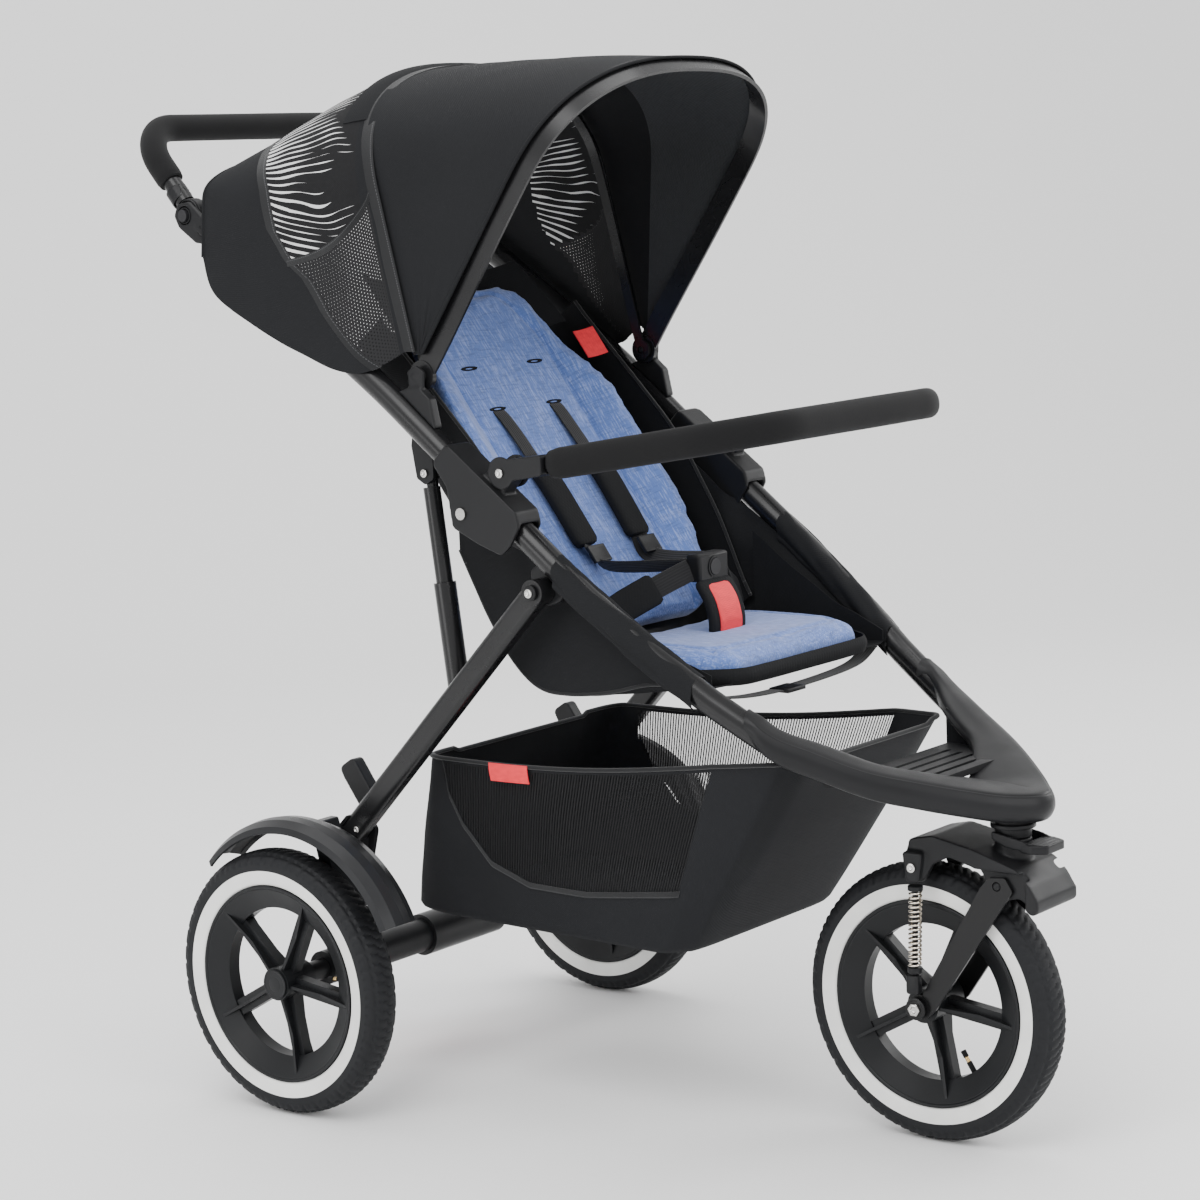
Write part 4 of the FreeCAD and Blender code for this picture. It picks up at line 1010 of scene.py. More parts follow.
def make_springs(looks):
    """Coil springs of the front fork, with their end cups and clevis blocks."""
    turns = looks.spring_turns
    for name, side in SIDES:
        top = at(side * SPRING_X, -401.0, 289.0)
        foot = at(side * SPRING_X, -397.5, 190.0)
        along = foot - top
        ahead = along.normalized()
        out = (X_AXIS - ahead * X_AXIS.dot(ahead)).normalized()
        over = ahead.cross(out)
        steps = turns * 14
        points = []
        for k in range(steps + 1):
            t = k / steps
            a = 2 * math.pi * turns * t
            points.append(top + along * (0.06 + 0.84 * t)
                          + (out * math.cos(a) + over * math.sin(a)) * COIL_RADIUS * MM)
        curve = bpy.data.curves.new("spring_wire_" + name, "CURVE")
        curve.dimensions = "3D"
        curve.bevel_depth = WIRE_RADIUS * MM
        curve.bevel_resolution = 2
        line = curve.splines.new("POLY")
        line.points.add(len(points) - 1)
        for point, place in zip(line.points, points):
            point.co = (*place, 1.0)
        curve.use_fill_caps = True
        coil = bpy.data.objects.new("spring_wire_" + name, curve)
        bpy.context.scene.collection.objects.link(coil)
        only(coil)
        bpy.ops.object.convert(target="MESH")
        coil = painted(bpy.context.object, FINISHES["spring_wire"])
        parts = [coil]
        for t, radius, depth, finish in ((0.03, 8.2, 5.0, "grained_black"),
                                         (0.93, 8.0, 6.0, "grained_black"),
                                         (0.48, 3.2, 88.0, "painted_steel")):
            place = top + along * t
            fresh()
            bpy.ops.mesh.primitive_cylinder_add(
                vertices=32, radius=radius * MM, depth=depth * MM, location=place,
                rotation=Vector((0, 0, 1)).rotation_difference(ahead).to_euler())
            part = rounded(settle(take("spring_end")), 0.6)
            parts.append(painted(part, FINISHES[finish]))
        clevis = rounded(block("spring_clevis", at(side * SPRING_X, -396.0, 181.0), (11.5, 15, 22)), 3.0, 3)
        parts.append(painted(clevis, FINISHES["grained_black"]))
        piece = soften(merged("fork_spring_" + name, parts), 50)
        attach(piece, "fork")
        if side > 0:
            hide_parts("springs")
        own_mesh(piece)
        screw_head("spring_screw_" + name, (side * 51.6, -400.5, 309.0), (side, 0, 0), 5.2, "fork")


def screw_head(name, centre, axis, radius, body, finish="bright_steel"):
    """Domed screw head with a hexagon recess."""
    head = cylinder(name, centre, axis, radius, 2.4, 36)
    stepped(head, axis, [(radius * 0.45, 0.5), (radius * 0.12, -1.0)])
    done(soften(painted(rounded(head, 0.5), FINISHES[finish]), 35), body, "steel")
    return head


# ---------------------------------------------------------------- nose

NOSE_TRACK = [(173, -285, 475), (165, -315, 450), (148, -350, 434), (124, -398, 413.5), (95, -437, 401),
              (62, -474, 389.5), (32, -503, 381), (0, -523, 378)]


def make_nose():
    """Smooth crescent over the ends of the lower rails, with the steering head under it."""
    track = both_ends(NOSE_TRACK)
    del track[len(NOSE_TRACK)]
    path = through(track)

    def width(t):
        near = 1 - abs(t - 0.5) * 2
        return 6 + 24 * smooth(0.02, 0.42, near) + 50 * smooth(0.42, 1.0, near)

    def place(u, v):
        here = path(v)
        ahead = path(min(v + 0.01, 1)) - path(max(v - 0.01, 0))
        out = Vector((ahead.y, -ahead.x, 0)).normalized()
        if out.dot(Vector((here.x, here.y + 0.40, 0))) < 0:
            out = -out
        w = width(v)
        drop = 1.5 * smooth(30, 80, w)
        ring = [(0, -17), (11, -14), (16.8, -5), (17.2, 4), (15, 11), (13.6, 13.0), (12.4, 13.6),
                (6, 16.5), (-w * 0.35, 19.5), (-w * 0.8, 18), (-w - 1, 15), (-w - 3, 11), (-w - 3, 4),
                (-w * 0.6 - 6, -3 - drop), (-9, -12)]
        p = spline([Vector(q) for q in ring + ring[:1]], u)
        near = min(v, 1 - v)
        k = smooth(0.0, 0.045, near)
        a = 2 * math.pi * u - math.pi / 2
        tube = Vector((math.cos(a), math.sin(a))) * 14.9
        p = tube.lerp(p, k)
        return here + (out * p.x + Vector((0, 0, p.y))) * MM

    shell = weld(skin("nose_cover", 90, 150, place, (0.12, 0.6)), close=True)
    head = cylinder("steering_head", (0, -495, 365), (0, 0, 1), 19.4, 41, 48)
    stepped(head, (0, 0, -1), [(1.5, -0.8), (4, 0), (0.5, 1.2)])
    collar = rounded(cylinder("steering_collar", (0, -495, 356), (0, 0, 1), 24, 5, 48), 1.2, 3)
    piece = painted(merged("nose_cover", [shell, head, settle(collar)]), FINISHES["grained_black"])
    done(soften(piece, 45), "front_frame", "moulded_plastic", "nose_housing")


# ---------------------------------------------------------------- foam

FOAM_UNEVEN = 0.012


def make_handle_foam():
    """Foam grip along the handlebar."""
    path = rounded_path(both_ends(HANDLE_POINTS), HANDLE_BENDS)
    normal = X_AXIS.cross(Vector((0, 75, 88))).normalized()

    def swell(v):
        return blunt(0.93, 0.012)(v) * (1 + FOAM_UNEVEN * ripple(path(v), 30))

    grip = sweep("handle_foam", lambda t: path(0.055 + 0.89 * t), oval(31.4, 31.4), 40, 220, normal,
                 (0.1, 0.9), swell)
    done(soften(painted(grip, FINISHES["foam_black"]), 60), "handlebar", "foam", "handle_grip")


def make_bumper_foam():
    """Foam sleeve along the bumper bar."""
    path = rounded_path(both_ends(BUMPER_POINTS), BUMPER_BENDS)

    def swell(v):
        return blunt(0.90, 0.014)(v) * (1 + FOAM_UNEVEN * ripple(path(v), 30, 3.0))

    foam = sweep("bumper_foam_sleeve", lambda t: path(0.042 + 0.916 * t), oval(33.5, 28.5, 0.9), 40, 220,
                 Vector((0, 0.12, 1)), (0.1, 0.9), swell)
    done(soften(painted(foam, FINISHES["foam_black"]), 60), "bumper_bar", "foam", "bumper_foam")


# ---------------------------------------------------------------- canopy

def cover_point(u, v, lift=0.0, wrinkle=0.0):
    """A point of the front cover: u across from left to right, v from the front bow to the seam."""
    row = spline([Vector(r) for r in COVER_ROWS], v)
    place = arch(row, u)
    middle = at(0, 150, 1000)
    out = (place - middle).normalized()
    side = min(u, 1 - u) * 2
    sag = -2.2 * math.sin(math.pi * v) * smooth(0.05, 0.5, side)
    fold = ripple(Vector((u * 7, v * 1.6, 0)), 1.0, 2.0) + 0.6 * ripple(place, 26, 5.0)
    pull = (1 - smooth(0.0, 0.35, side)) * math.sin(v * 9 * math.pi) * 0.5
    return place + out * (lift + sag) * MM + out * wrinkle * (fold * 0.7 + pull) * math.sin(math.pi * v)


BACK_SIZE = (1.05, 0.30)


def back_point(u, v, lift=0.0, wrinkle=0.0):
    """A point of the rear cover: v from the seam to the hem behind the rails."""
    row = spline([Vector(r) for r in BACK_ROWS], v)
    place = arch(row, u)
    middle = at(0, 260, 980)
    out = (place - middle).normalized()
    fold = ripple(Vector((u * 9, v * 2.2, 4)), 1.0, 7.0) + 0.7 * ripple(place, 22, 9.0)
    hem = 0.4 + 0.6 * smooth(0.0, 0.25, min(v, 1 - v))
    return place + out * lift * MM + out * wrinkle * fold * 1.6 * hem


def make_canopy_cover(looks):
    """Front cover of the canopy with its lining and piping."""
    wrinkle = looks.wrinkle
    cover = skin("canopy_cover", 168, 48, lambda u, v: cover_point(u, v, 0.0, wrinkle), (1.05, 0.33))
    thicken(cover, looks.cloth_thickness)
    painted(cover, FINISHES["canopy_cloth"])
    lining = skin("canopy_lining", 120, 30, lambda u, v: cover_point(u, 0.03 + 0.94 * v, -3.4, 0.0),
                  (1.05, 0.33))
    painted(thicken(lining, 0.0007), FINISHES["lining_black"], FINISHES["lining_grey"])
    uv = lining.data.uv_layers.active.data
    for face in lining.data.polygons:
        face.material_index = 1 if uv[face.loop_indices[0]].uv.y < 0.19 else 0
    trim = sweep("canopy_front_piping", lambda t: cover_point(t, 0.0, 1.0), oval(4.6, 3.6), 10, 160,
                 Vector((0, 1, 0.2)), (0.015, 1.05))
    painted(trim, FINISHES["seat_cloth"])
    for piece, nodes in ((cover, ("canopy_shell",)), (lining, ()), (trim, ())):
        soften(piece, 60)
        if nodes:
            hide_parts(*nodes)
        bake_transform(piece)


def skirt_edge(side):
    """Where the plain skirt begins, for a place up the arch (0.5 at the top, 1 at the foot)."""
    line = [(0.5, 0.66), (0.70, 0.62), (0.80, 0.54), (0.85, 0.52), (0.885, 0.46), (0.90, 0.40),
            (0.935, 0.34), (0.967, 0.26), (1.0, 0.16)]
    return straight_between(line, side)


def window_edge(v):
    """Where the net window meets the striped panel, for a place back from the seam."""
    return 0.80 + 0.185 * v


def make_canopy_back(looks):
    """Rear cover with net windows, striped panel, plain skirt, seams, flap and hem."""
    wrinkle = looks.wrinkle
    back = skin("canopy_back", 176, 60, lambda u, v: back_point(u, v, 0.0, wrinkle), BACK_SIZE)
    painted(back, FINISHES["canopy_cloth"], FINISHES["window_net"], FINISHES["stripe_print"])
    uv = back.data.uv_layers.active.data
    for face in back.data.polygons:
        u, v = middle_uv(face, uv, BACK_SIZE)
        side = max(u, 1 - u)
        inside = v < skirt_edge(side)
        window = inside and side > window_edge(v) and v > 0.05
        print_panel = inside and not window and side < 0.90 and v > 0.10
        face.material_index = 1 if window else 2 if print_panel else 0
    thicken(back, looks.cloth_thickness)
    soften(back, 60)
    strips = []
    tape = skin("seam_tape", 150, 4, lambda u, v: back_point(u, 0.0, 2.6)
                + Vector((0, (v - 0.5) * 22 * MM, 0)), (1.05, 0.022))
    strips.append(thicken(tape, 0.0012, 0.0))
    bind = skin("seam_tape", 220, 2, lambda u, v: back_point(
        u, skirt_edge(max(u, 1 - u)) + (v - 0.5) * 0.040, 1.1, wrinkle), (1.05, 0.012))
    strips.append(thicken(bind, 0.0014, 0.0))
    for far in (0, 1):
        def border(u, v):
            side = window_edge(0.47 * u) + (v - 0.5) * 0.009
            return back_point(side if far else 1 - side, 0.47 * u, 1.1, wrinkle)
        strips.append(thicken(skin("seam_tape", 60, 2, border, (0.2, 0.012)), 0.0014, 0.0))
    flap = skin("seam_tape", 60, 10, lambda u, v: back_point(0.30 + 0.40 * u, 0.02 + 0.20 * v, 2.0 + 5 * v
                                                              * math.sin(math.pi * u)), (0.4, 0.05))
    flap = thicken(flap, 0.0012, 0.0)
    seams = soften(painted(merged("canopy_seams", strips), FINISHES["seam_tape"]), 60)
    flap.name = "canopy_flap"
    painted(soften(flap, 60), FINISHES["seat_cloth"])
    hem = sweep("canopy_hem", lambda t: back_point(t, 0.995, 0.0, wrinkle), oval(5.0, 5.0), 10, 160,
                Vector((0, 1, 0)), (0.015, 1.05))
    painted(hem, FINISHES["seat_cloth"])
    done(back, "upper_frame", "canopy_fabric", "canopy_rear")
    done(seams, "upper_frame", "canopy_fabric")
    done(flap, "upper_frame", "canopy_fabric")
    done(soften(hem, 60), "upper_frame", "canopy_fabric")


# ---------------------------------------------------------------- seat

def make_hammock(looks):
    """Cloth trough under the seat, and its sleeves round the lower rails."""
    rows = [(-234, 506, 518), (-200, 503, 532), (-165, 500, 545), (-130, 496, 566), (-95, 491, 588),
            (-60, 489, 614), (-48, 489, 622)]
    halves = [165, 171, 175, 177, 179, 180, 180]

    def place(u, v):
        y, low, high = spline([Vector(r) for r in rows], v)
        half = spline([Vector((h, 0)) for h in halves], v).x
        across = (u - 0.5) * 2
        wall = smooth(0.62, 1.0, abs(across))
        x = half * max(-1.0, min(across / 0.80, 1.0))
        z = low - 3.0 * (1 - across * across) * math.sin(math.pi * v)
        z += (high - low) * max(0.0, (abs(across) - 0.78) / 0.22) + 2.0 * wall
        spot = at(x, y, z)
        return spot + Vector((0, 0, ripple(spot, 24, 1.0) * looks.wrinkle))

    trough = thicken(skin("seat_hammock", 120, 40, place, (0.50, 0.20)), looks.cloth_thickness)
    painted(soften(trough, 60), FINISHES["seat_cloth"])
    done(trough, "front_frame", "seat_fabric", "seat_sling")
    for name, side in SIDES:
        def sleeve(u, v):
            y = -74.0 - 160.0 * v
            x, z = rail_at(y)
            a = math.radians(-60 + 300 * u)
            r = 17.0 + 0.9 * math.sin(5 * a + 9 * v) + 1.4 * ripple(Vector((a, v * 6, side)), 1.4)
            spread = 1 + 0.5 * smooth(0.75, 1.0, abs(u - 0.5) * 2)
            return at(side * (x - r * math.cos(a) * spread * 0.98), y, z + r * math.sin(a) - 0.2)

        wrap = weld(skin("rail_sleeve_" + name, 40, 60, sleeve, (0.11, 0.2)))
        thicken(wrap, looks.cloth_thickness, 1.0)
        painted(soften(wrap, 60), FINISHES["seat_cloth"])
        done(wrap, "front_frame", "seat_fabric")
        lower = [(95, 640, 745), (74, 600, 728), (56, 566, 716), (29, 529, 696), (-11, 496, 660),
                 (-53, 490, 630), (-110, 496, 586), (-162, 508, 545), (-205, 509, 515), (-234, 502, 500)]

        def panel(u, v):
            y, low, high = spline([Vector(p) for p in lower], u)
            z = low + (high - low) * v
            rail_x = rail_at(y)[0] if y < 0 else 200.0
            out = 183.5 - 5.0 * smooth(0, 60, y) if y > -90 else min(183.5, rail_x - 14.0)
            puff = 2.0 * math.sin(math.pi * v) * (1 - smooth(10, 60, y))
            flare = smooth(0.72, 1.0, v) * (1 - smooth(-30, 0, y)) * max(0.0, min(rail_x - 10, 198) - out)
            spot = at(side * (out + flare + puff * 0.4 - 1.5), y, z + 4 * smooth(0.8, 1.0, v))
            return spot + Vector((side * looks.wrinkle * 0.5 * ripple(spot, 18, 2.0), 0, 0))

        flap = weld(skin("seat_side_panel_" + name, 60, 24, panel, (0.34, 0.14)))
        thicken(flap, looks.cloth_thickness, 0.0)
        painted(soften(flap, 60), FINISHES["seat_cloth"])
        done(flap, "front_frame", "seat_fabric")
        edge = sweep("seat_panel_hem_" + name, lambda t: panel(t, 0.0), oval(3.4, 4.4), 8, 80,
                     Vector((side, 0, 0)), (0.012, 0.4))
        done(soften(painted(edge, FINISHES["seam_tape"]), 60), "front_frame", "seat_fabric")


def make_wings(looks):
    """Cloth of the backrest: flat behind the pad, with a wing on each side."""
    def place(u, v):
        height = 22.0 + 424.0 * v
        reach = spline([Vector((r, 0)) for r in (32, 52, 60, 48, 34)], v).x
        s = (u - 0.5) * 2
        flat = 0.72
        if abs(s) < flat:
            x, depth = 166.0 * s / flat, 16.8 - 3.0 * math.cos(math.pi * s / flat / 2)
        else:
            t = (abs(s) - flat) / (1 - flat)
            x = math.copysign(166.0 + 9.0 * min(t * 3, 1.0), s)
            depth = 16.8 - (reach + 16.0) * max(t - 0.06, 0) / 0.94
        spot = on_back(x, depth, height)
        return spot + Vector((0, 0.0008 * ripple(spot, 20, 4.0), 0))

    wings = thicken(weld(skin("seat_wings", 110, 60, place, (0.46, 0.43))), looks.cloth_thickness, 0.0)
    painted(soften(wings, 60), FINISHES["seat_cloth"])
    done(wings, "seat_back", "seat_fabric", "seat_back_fabric")
    for name, side in SIDES:
        edge = sweep("wing_piping_" + name, lambda t: place(1.0 if side > 0 else 0.0, t), oval(4.4, 4.4), 10,
                     80, X_AXIS, (0.015, 0.45))
        done(soften(painted(edge, FINISHES["seam_tape"]), 60), "seat_back", "seat_fabric")


PAD_VOXEL = 5 * MM
PAD_PRESSURE = 4.0
PAD_FRAMES = 20


def padded_from(node_name, name, swell):
    """A cushion grown from its plain solid: cloth is blown up from a slightly smaller start."""
    piece = grown(node_name, name, 0.1 * MM, PAD_VOXEL, 6)
    rest = [v.co.copy() for v in piece.data.vertices]
    only(piece)
    sim = piece.modifiers.new("cloth", "CLOTH")
    sim.settings.use_pressure = True
    sim.settings.uniform_pressure_force = PAD_PRESSURE
    sim.settings.effector_weights.gravity = 0.0
    sim.settings.quality = 5
    sim.settings.tension_stiffness = 15
    sim.settings.compression_stiffness = 15
    sim.settings.bending_stiffness = 0.5
    sim.point_cache.frame_start = 1
    sim.point_cache.frame_end = PAD_FRAMES
    for k in range(1, PAD_FRAMES + 1):
        bpy.context.scene.frame_set(k)
    bpy.ops.object.modifier_apply(modifier=sim.name)
    bpy.context.scene.frame_set(1)
    for vert, start in zip(piece.data.vertices, rest):
        step = vert.co - start
        if step.length > swell:
            vert.co = start + step * (swell / step.length)
    piece.data.update()
    finish_with(piece, "SUBSURF", levels=1, render_levels=1)
    return piece


def press(piece, along, frontness, depth, width):
    """Presses a sewn line into a pad: along gives a point's distance from the line, in mm."""
    moves = []
    for vert in piece.data.vertices:
        front = frontness(vert)
        d = along(vert.co)
        moves.append(math.exp(-(d / width) ** 2) * depth * front if d < 4 * width and front > 0 else 0)
    for vert, move in zip(piece.data.vertices, moves):
        if move:
            vert.co -= vert.normal * move * MM
    piece.data.update()


def back_local(co):
    """Across, behind the hinge line and up along the backrest, in millimetres."""
    y = co.y / MM + CENTRE_Y - SEAT_HINGE[0]
    z = co.z / MM - SEAT_HINGE[1]
    c, s = math.cos(SEAT_LEAN), math.sin(SEAT_LEAN)
    return co.x / MM, s * y - c * z, c * y + s * z


PAD_SHOULDER = 395
PAD_STRETCH = 1.15


def make_pads(looks):
    """Blue liner of the seat and backrest, with sewn lines and strap slits."""
    swell = looks.pad_swell
    back = padded_from("back_pad", "liner_back_pad", swell)

    for vert in back.data.vertices:
        x, depth, h = back_local(vert.co)
        h += PAD_STRETCH * max(h - PAD_SHOULDER, 0)
        cup = smooth(80, 152, abs(x)) * (0.55 + 0.45 * smooth(0, 120, h))
        vert.co = on_back(x * (1 + 0.055 * smooth(40, 120, h) * (1 - smooth(330, 440, h))),
                          depth + 2.5 - 31 * cup, h)
    back.data.update()

    def seam(co):
        x, _, h = back_local(co)
        half = 94 - 26 * smooth(400, 500, h)
        side = abs(abs(x) - half) if 30 < h < 475 else 99
        top = abs(h - 480) if abs(x) < 66 else 99
        turn = abs(math.hypot(max(abs(x) - 52, 0), max(h - 462, 0)) - 18) if abs(x) > 52 and h > 462 else 99
        return min(side, top, turn)

    forward = Vector((0, -math.sin(SEAT_LEAN), math.cos(SEAT_LEAN)))
    press(back, seam, lambda v: 1.0 if v.normal.dot(forward) > 0.35 else 0.0, 3.6, 3.2)
    painted(soften(back, 70), FINISHES["liner_back_blue"])
    done(back, "seat_back", "liner_fabric", "back_pad")

    def head(u, v):
        x = (2 * u - 1) * (150 - 14 * v)
        cup = smooth(80, 152, abs(x))
        return on_back(x, 4 + 6 * v - 29 * cup, 425 + (96 + 8 * math.sin(math.pi * u)) * v)

    cloth_behind = thicken(weld(skin("head_cloth", 60, 16, head, (0.30, 0.11))), 0.0014, -1.0)
    done(soften(painted(cloth_behind, FINISHES["seat_cloth"]), 60), "seat_back", "seat_fabric")

    seat = padded_from("seat_base_pad", "liner_seat_pad", swell)

    def seat_seam(co):
        x, y = abs(co.x) / MM, co.y / MM + CENTRE_Y
        side = abs(x - 118) if -205 < y < -70 else 99
        front = abs(y + 207) if x < 92 else 99
        corner = abs(math.hypot(x - 92, min(y + 181, 0)) - 26) if x > 92 and y < -181 else 99
        return min(side, front, corner)

    press(seat, seat_seam, lambda v: 1.0 if v.normal.z > 0.4 else 0.0, 3.0, 3.4)
    painted(soften(seat, 70), FINISHES["liner_seat_blue"])
    done(seat, "front_frame", "liner_fabric", "seat_base_pad")

    outline = [(151, -60), (152, -120), (151, -180), (141, -212), (118, -238), (80, -243), (0, -243.5)]
    loop = [Vector((x, y, 0)) for x, y in outline] + [Vector((-x, y, 0)) for x, y in reversed(outline[:-1])]

    def band(u, v):
        p = spline(loop, u)
        bulge = 1 + 0.012 * math.sin(math.pi * v)
        return at(p.x * bulge, p.y * bulge if p.y < -200 else p.y, 504 + 17 * v)

    edge = thicken(weld(skin("seat_edge_band", 130, 8, band, (0.75, 0.017))), 0.0016, 1.0)
    done(soften(painted(edge, FINISHES["pad_black"]), 60), "front_frame", "seat_fabric")
    front = min(back_local(v.co)[1] for v in back.data.vertices
                if abs(v.co.x) < 0.05 and 300 < back_local(v.co)[2] < 330)
    for k, (x, h) in enumerate([(s * a, b) for s in (1, -1) for a, b in ((51, 321), (59, 378))]):
        def slit(u, v):
            a = 2 * math.pi * u
            r = 0.25 + 0.75 * v
            return on_back(x + 14 * math.cos(a) * r, front - 0.6 + 1.6 * (1 - v), h + 2.6 * math.sin(a) * r)
        lip = weld(skin("strap_slit_%d" % k, 32, 4, slit), gap=0.00001)
        thicken(lip, 0.0012, 0.0)
        done(soften(painted(lip, FINISHES["pad_black"]), 60), "seat_back", "liner_fabric")


# ---------------------------------------------------------------- harness

def strap(name, points, width, thickness, side, body, finish="webbing", power=0.35):
    """Flat webbing through some points."""
    path = through(points)
    length = sum((b - a).length for a, b in zip(points, points[1:]))
    piece = sweep(name, path, oval(width, thickness, power), 16, max(12, int(length / 0.006)), side,
                  (width * 2 * MM, length))
    return done(soften(painted(piece, FINISHES[finish]), 60), body, "harness_fabric")


def make_harness():
    """Five-point harness: padded covers, webbing, buckle, adjusters and crotch pad."""
    pad = bpy.data.objects["liner_back_pad"].data.vertices
    places = [back_local(v.co) for v in pad]
    lift = min(p[1] for p in places if abs(p[0]) < 70 and 100 < p[2] < 330) - 1.5
    for name, side in SIDES:
        top = [on_back(side * 51, lift + 14, 326), on_back(side * 51, lift + 2, 318),
               on_back(side * 50, lift - 3, 285), on_back(side * 50, lift - 6, 238)]
        strap("upper_strap_" + name, top, 22, 1.8, X_AXIS, "seat_back")
        cover = [on_back(side * 50, lift - 6, 246), on_back(side * 50, lift - 9, 210),
                 on_back(side * 49, lift - 9, 168), on_back(side * 48, lift - 8, 128)]
        pad = sweep("shoulder_cover_" + name, through(cover), oval(37, 14, 0.55), 28, 56, X_AXIS,
                    (0.12, 0.2), blunt(0.80, 0.08))
        finish_with(pad, "SUBSURF", levels=1, render_levels=1)
        nodes = ("shoulder_pads",) if side > 0 else ()
        done(soften(painted(pad, FINISHES["pad_black"]), 60), "seat_back", "harness_fabric", *nodes)
        low = [on_back(side * 48, lift - 8, 132), on_back(side * 45, lift - 12, 98), at(side * 30, -84, 612),
               at(side * 16, -106, 612)]
        strap("shoulder_strap_" + name, low, 22, 1.8, Vector((side, 0, 0.9)), "seat_back")
        waist = [at(side * 140, -58, 548), at(side * 112, -66, 566), at(side * 70, -88, 590),
                 at(side * 26, -109, 608)]
        strap("waist_strap_" + name, waist, 25, 1.8, Vector((0, 0.4, 1)), "front_frame")
        cover = [at(side * 128, -62, 560), at(side * 100, -71, 575), at(side * 66, -90, 592)]
        pad = sweep("waist_cover_" + name, through(cover), oval(36, 9, 0.5), 24, 30, Vector((0, 0.4, 1)),
                    (0.1, 0.08), blunt(0.86, 0.08))
        done(soften(painted(pad, FINISHES["pad_black"]), 60), "front_frame", "harness_fabric")
        adjuster = block("strap_adjuster_" + name, (0, 0, 0), (30, 5, 22))
        rounded(dished(adjuster, (0, -1, 0), 4, -1.5), 1.4, 3)
        spot = on_back(side * 47, lift - 15, 112)
        adjuster.data.transform(Matrix.Translation(spot) @ Matrix.Rotation(SEAT_LEAN - math.pi / 2, 4, "X"))
        done(soften(painted(adjuster, FINISHES["grained_black"]), 40), "seat_back", "moulded_plastic")
    crotch = [at(0, -136, 533), at(0, -137, 552), at(0, -131, 574), at(0, -118, 594)]
    pad = sweep("crotch_pad", through(crotch), oval(62, 11, 0.45), 32, 30, X_AXIS, (0.13, 0.07),
                blunt(0.9, 0.1))
    done(soften(painted(pad, FINISHES["pad_black"]), 60), "front_frame", "harness_fabric", "crotch_strap")
    patch = [at(0, -142.2, 537), at(0, -142.8, 553), at(0, -136.5, 575), at(0, -124.5, 592)]
    cover = sweep("crotch_pad_patch", through(patch), oval(40, 2.6, 0.4), 24, 24, X_AXIS, (0.08, 0.06))
    done(soften(painted(cover, FINISHES["tag_red"]), 60), "front_frame", "harness_fabric")
    buckle = block("harness_buckle_shell", at(0, -112, 609), (54, 19, 31))
    rounded(dished(buckle, (0, -1, 0), 3, 1.2), 5.0, 4)
    done(soften(painted(buckle, FINISHES["grained_black"]), 40), "front_frame", "moulded_plastic",
         "harness_buckle")
    ring = cylinder("buckle_ring", (0, -122.9, 609), (0, -1, 0), 12.0, 1.6, 48)
    stepped(ring, (0, -1, 0), [(2.2, 0), (0.3, -1.0)])
    done(soften(painted(ring, FINISHES["grained_black"]), 40), "front_frame", "moulded_plastic")


# ---------------------------------------------------------------- basket

BASKET_RIM = [(-170, 164), (-180, 150), (-180, -240), (-152, -322), (152, -322), (180, -240), (180, 150),
              (170, 164)]
BASKET_BASE = [(-160, 214), (-166, 150), (-158, -150), (-128, -174), (128, -174), (158, -150),
               (166, 150), (160, 214)]
BASKET_SPANS = [0.0, 0.015, 0.30, 0.37, 0.45, 0.52, 0.805, 0.82, 1.0]
BASKET_SIZE = (1.60, 0.36)
FLOOR_SHARE = 0.22
NET_LEFT = (0.518, 0.802)
NET_RIGHT = (0.018, 0.302)
NET_TOP = 0.972


def basket_loop(points, u):
    """A point round the basket's corners from the right rear one, u from 0 to 1."""
    closed = points + [points[0]]
    return Vector((straight_between(list(zip(BASKET_SPANS, (p[k] for p in closed))), u) for k in (0, 1)))


def soft_loop(points, u):
    """The loop's corners rounded off by averaging nearby points."""
    total = Vector((0, 0))
    for shift in (-0.012, -0.006, 0.0, 0.006, 0.012):
        total += basket_loop(points, (u + shift) % 1.0)
    return total / 5


def basket_point(u, t):
    """A point of the basket's wall: u round it, t from the floor's edge to the rim."""
    low = soft_loop(BASKET_BASE, u)
    high = soft_loop(BASKET_RIM, u)
    flat = low.lerp(high, t)
    base_z = 207 + 0.03 * (low.y + 174)
    side = abs(flat.x) > 120
    dip = 9.0 * math.sin(math.pi * clamp01((high.y + 240) / 390)) if side else 4.0
    rim_z = 402 + 0.06 * (164 - high.y) - dip
    z = base_z + (rim_z - base_z) * t
    out = Vector((flat.x, (flat.y + 30) * 0.6)).normalized()
    belly = 3.5 * math.sin(math.pi * t) + 2.0 * ripple(Vector((u * 14, t * 3, 0)), 1.0, 6.0) * math.sin(
        math.pi * t)
    return at(flat.x + out.x * belly - 1.0 * out.x, flat.y + out.y * belly, z)


def net_edge(y):
    """Lower border of the side nets as a share of the wall's height, for a place along it."""
    line = [(-330, 0.36), (-206, 0.33), (-71, 0.27), (13, 0.28), (69, 0.38), (110, 0.60), (130, 0.79),
            (134, 1.0), (300, 1.0)]
    return straight_between(line, y)


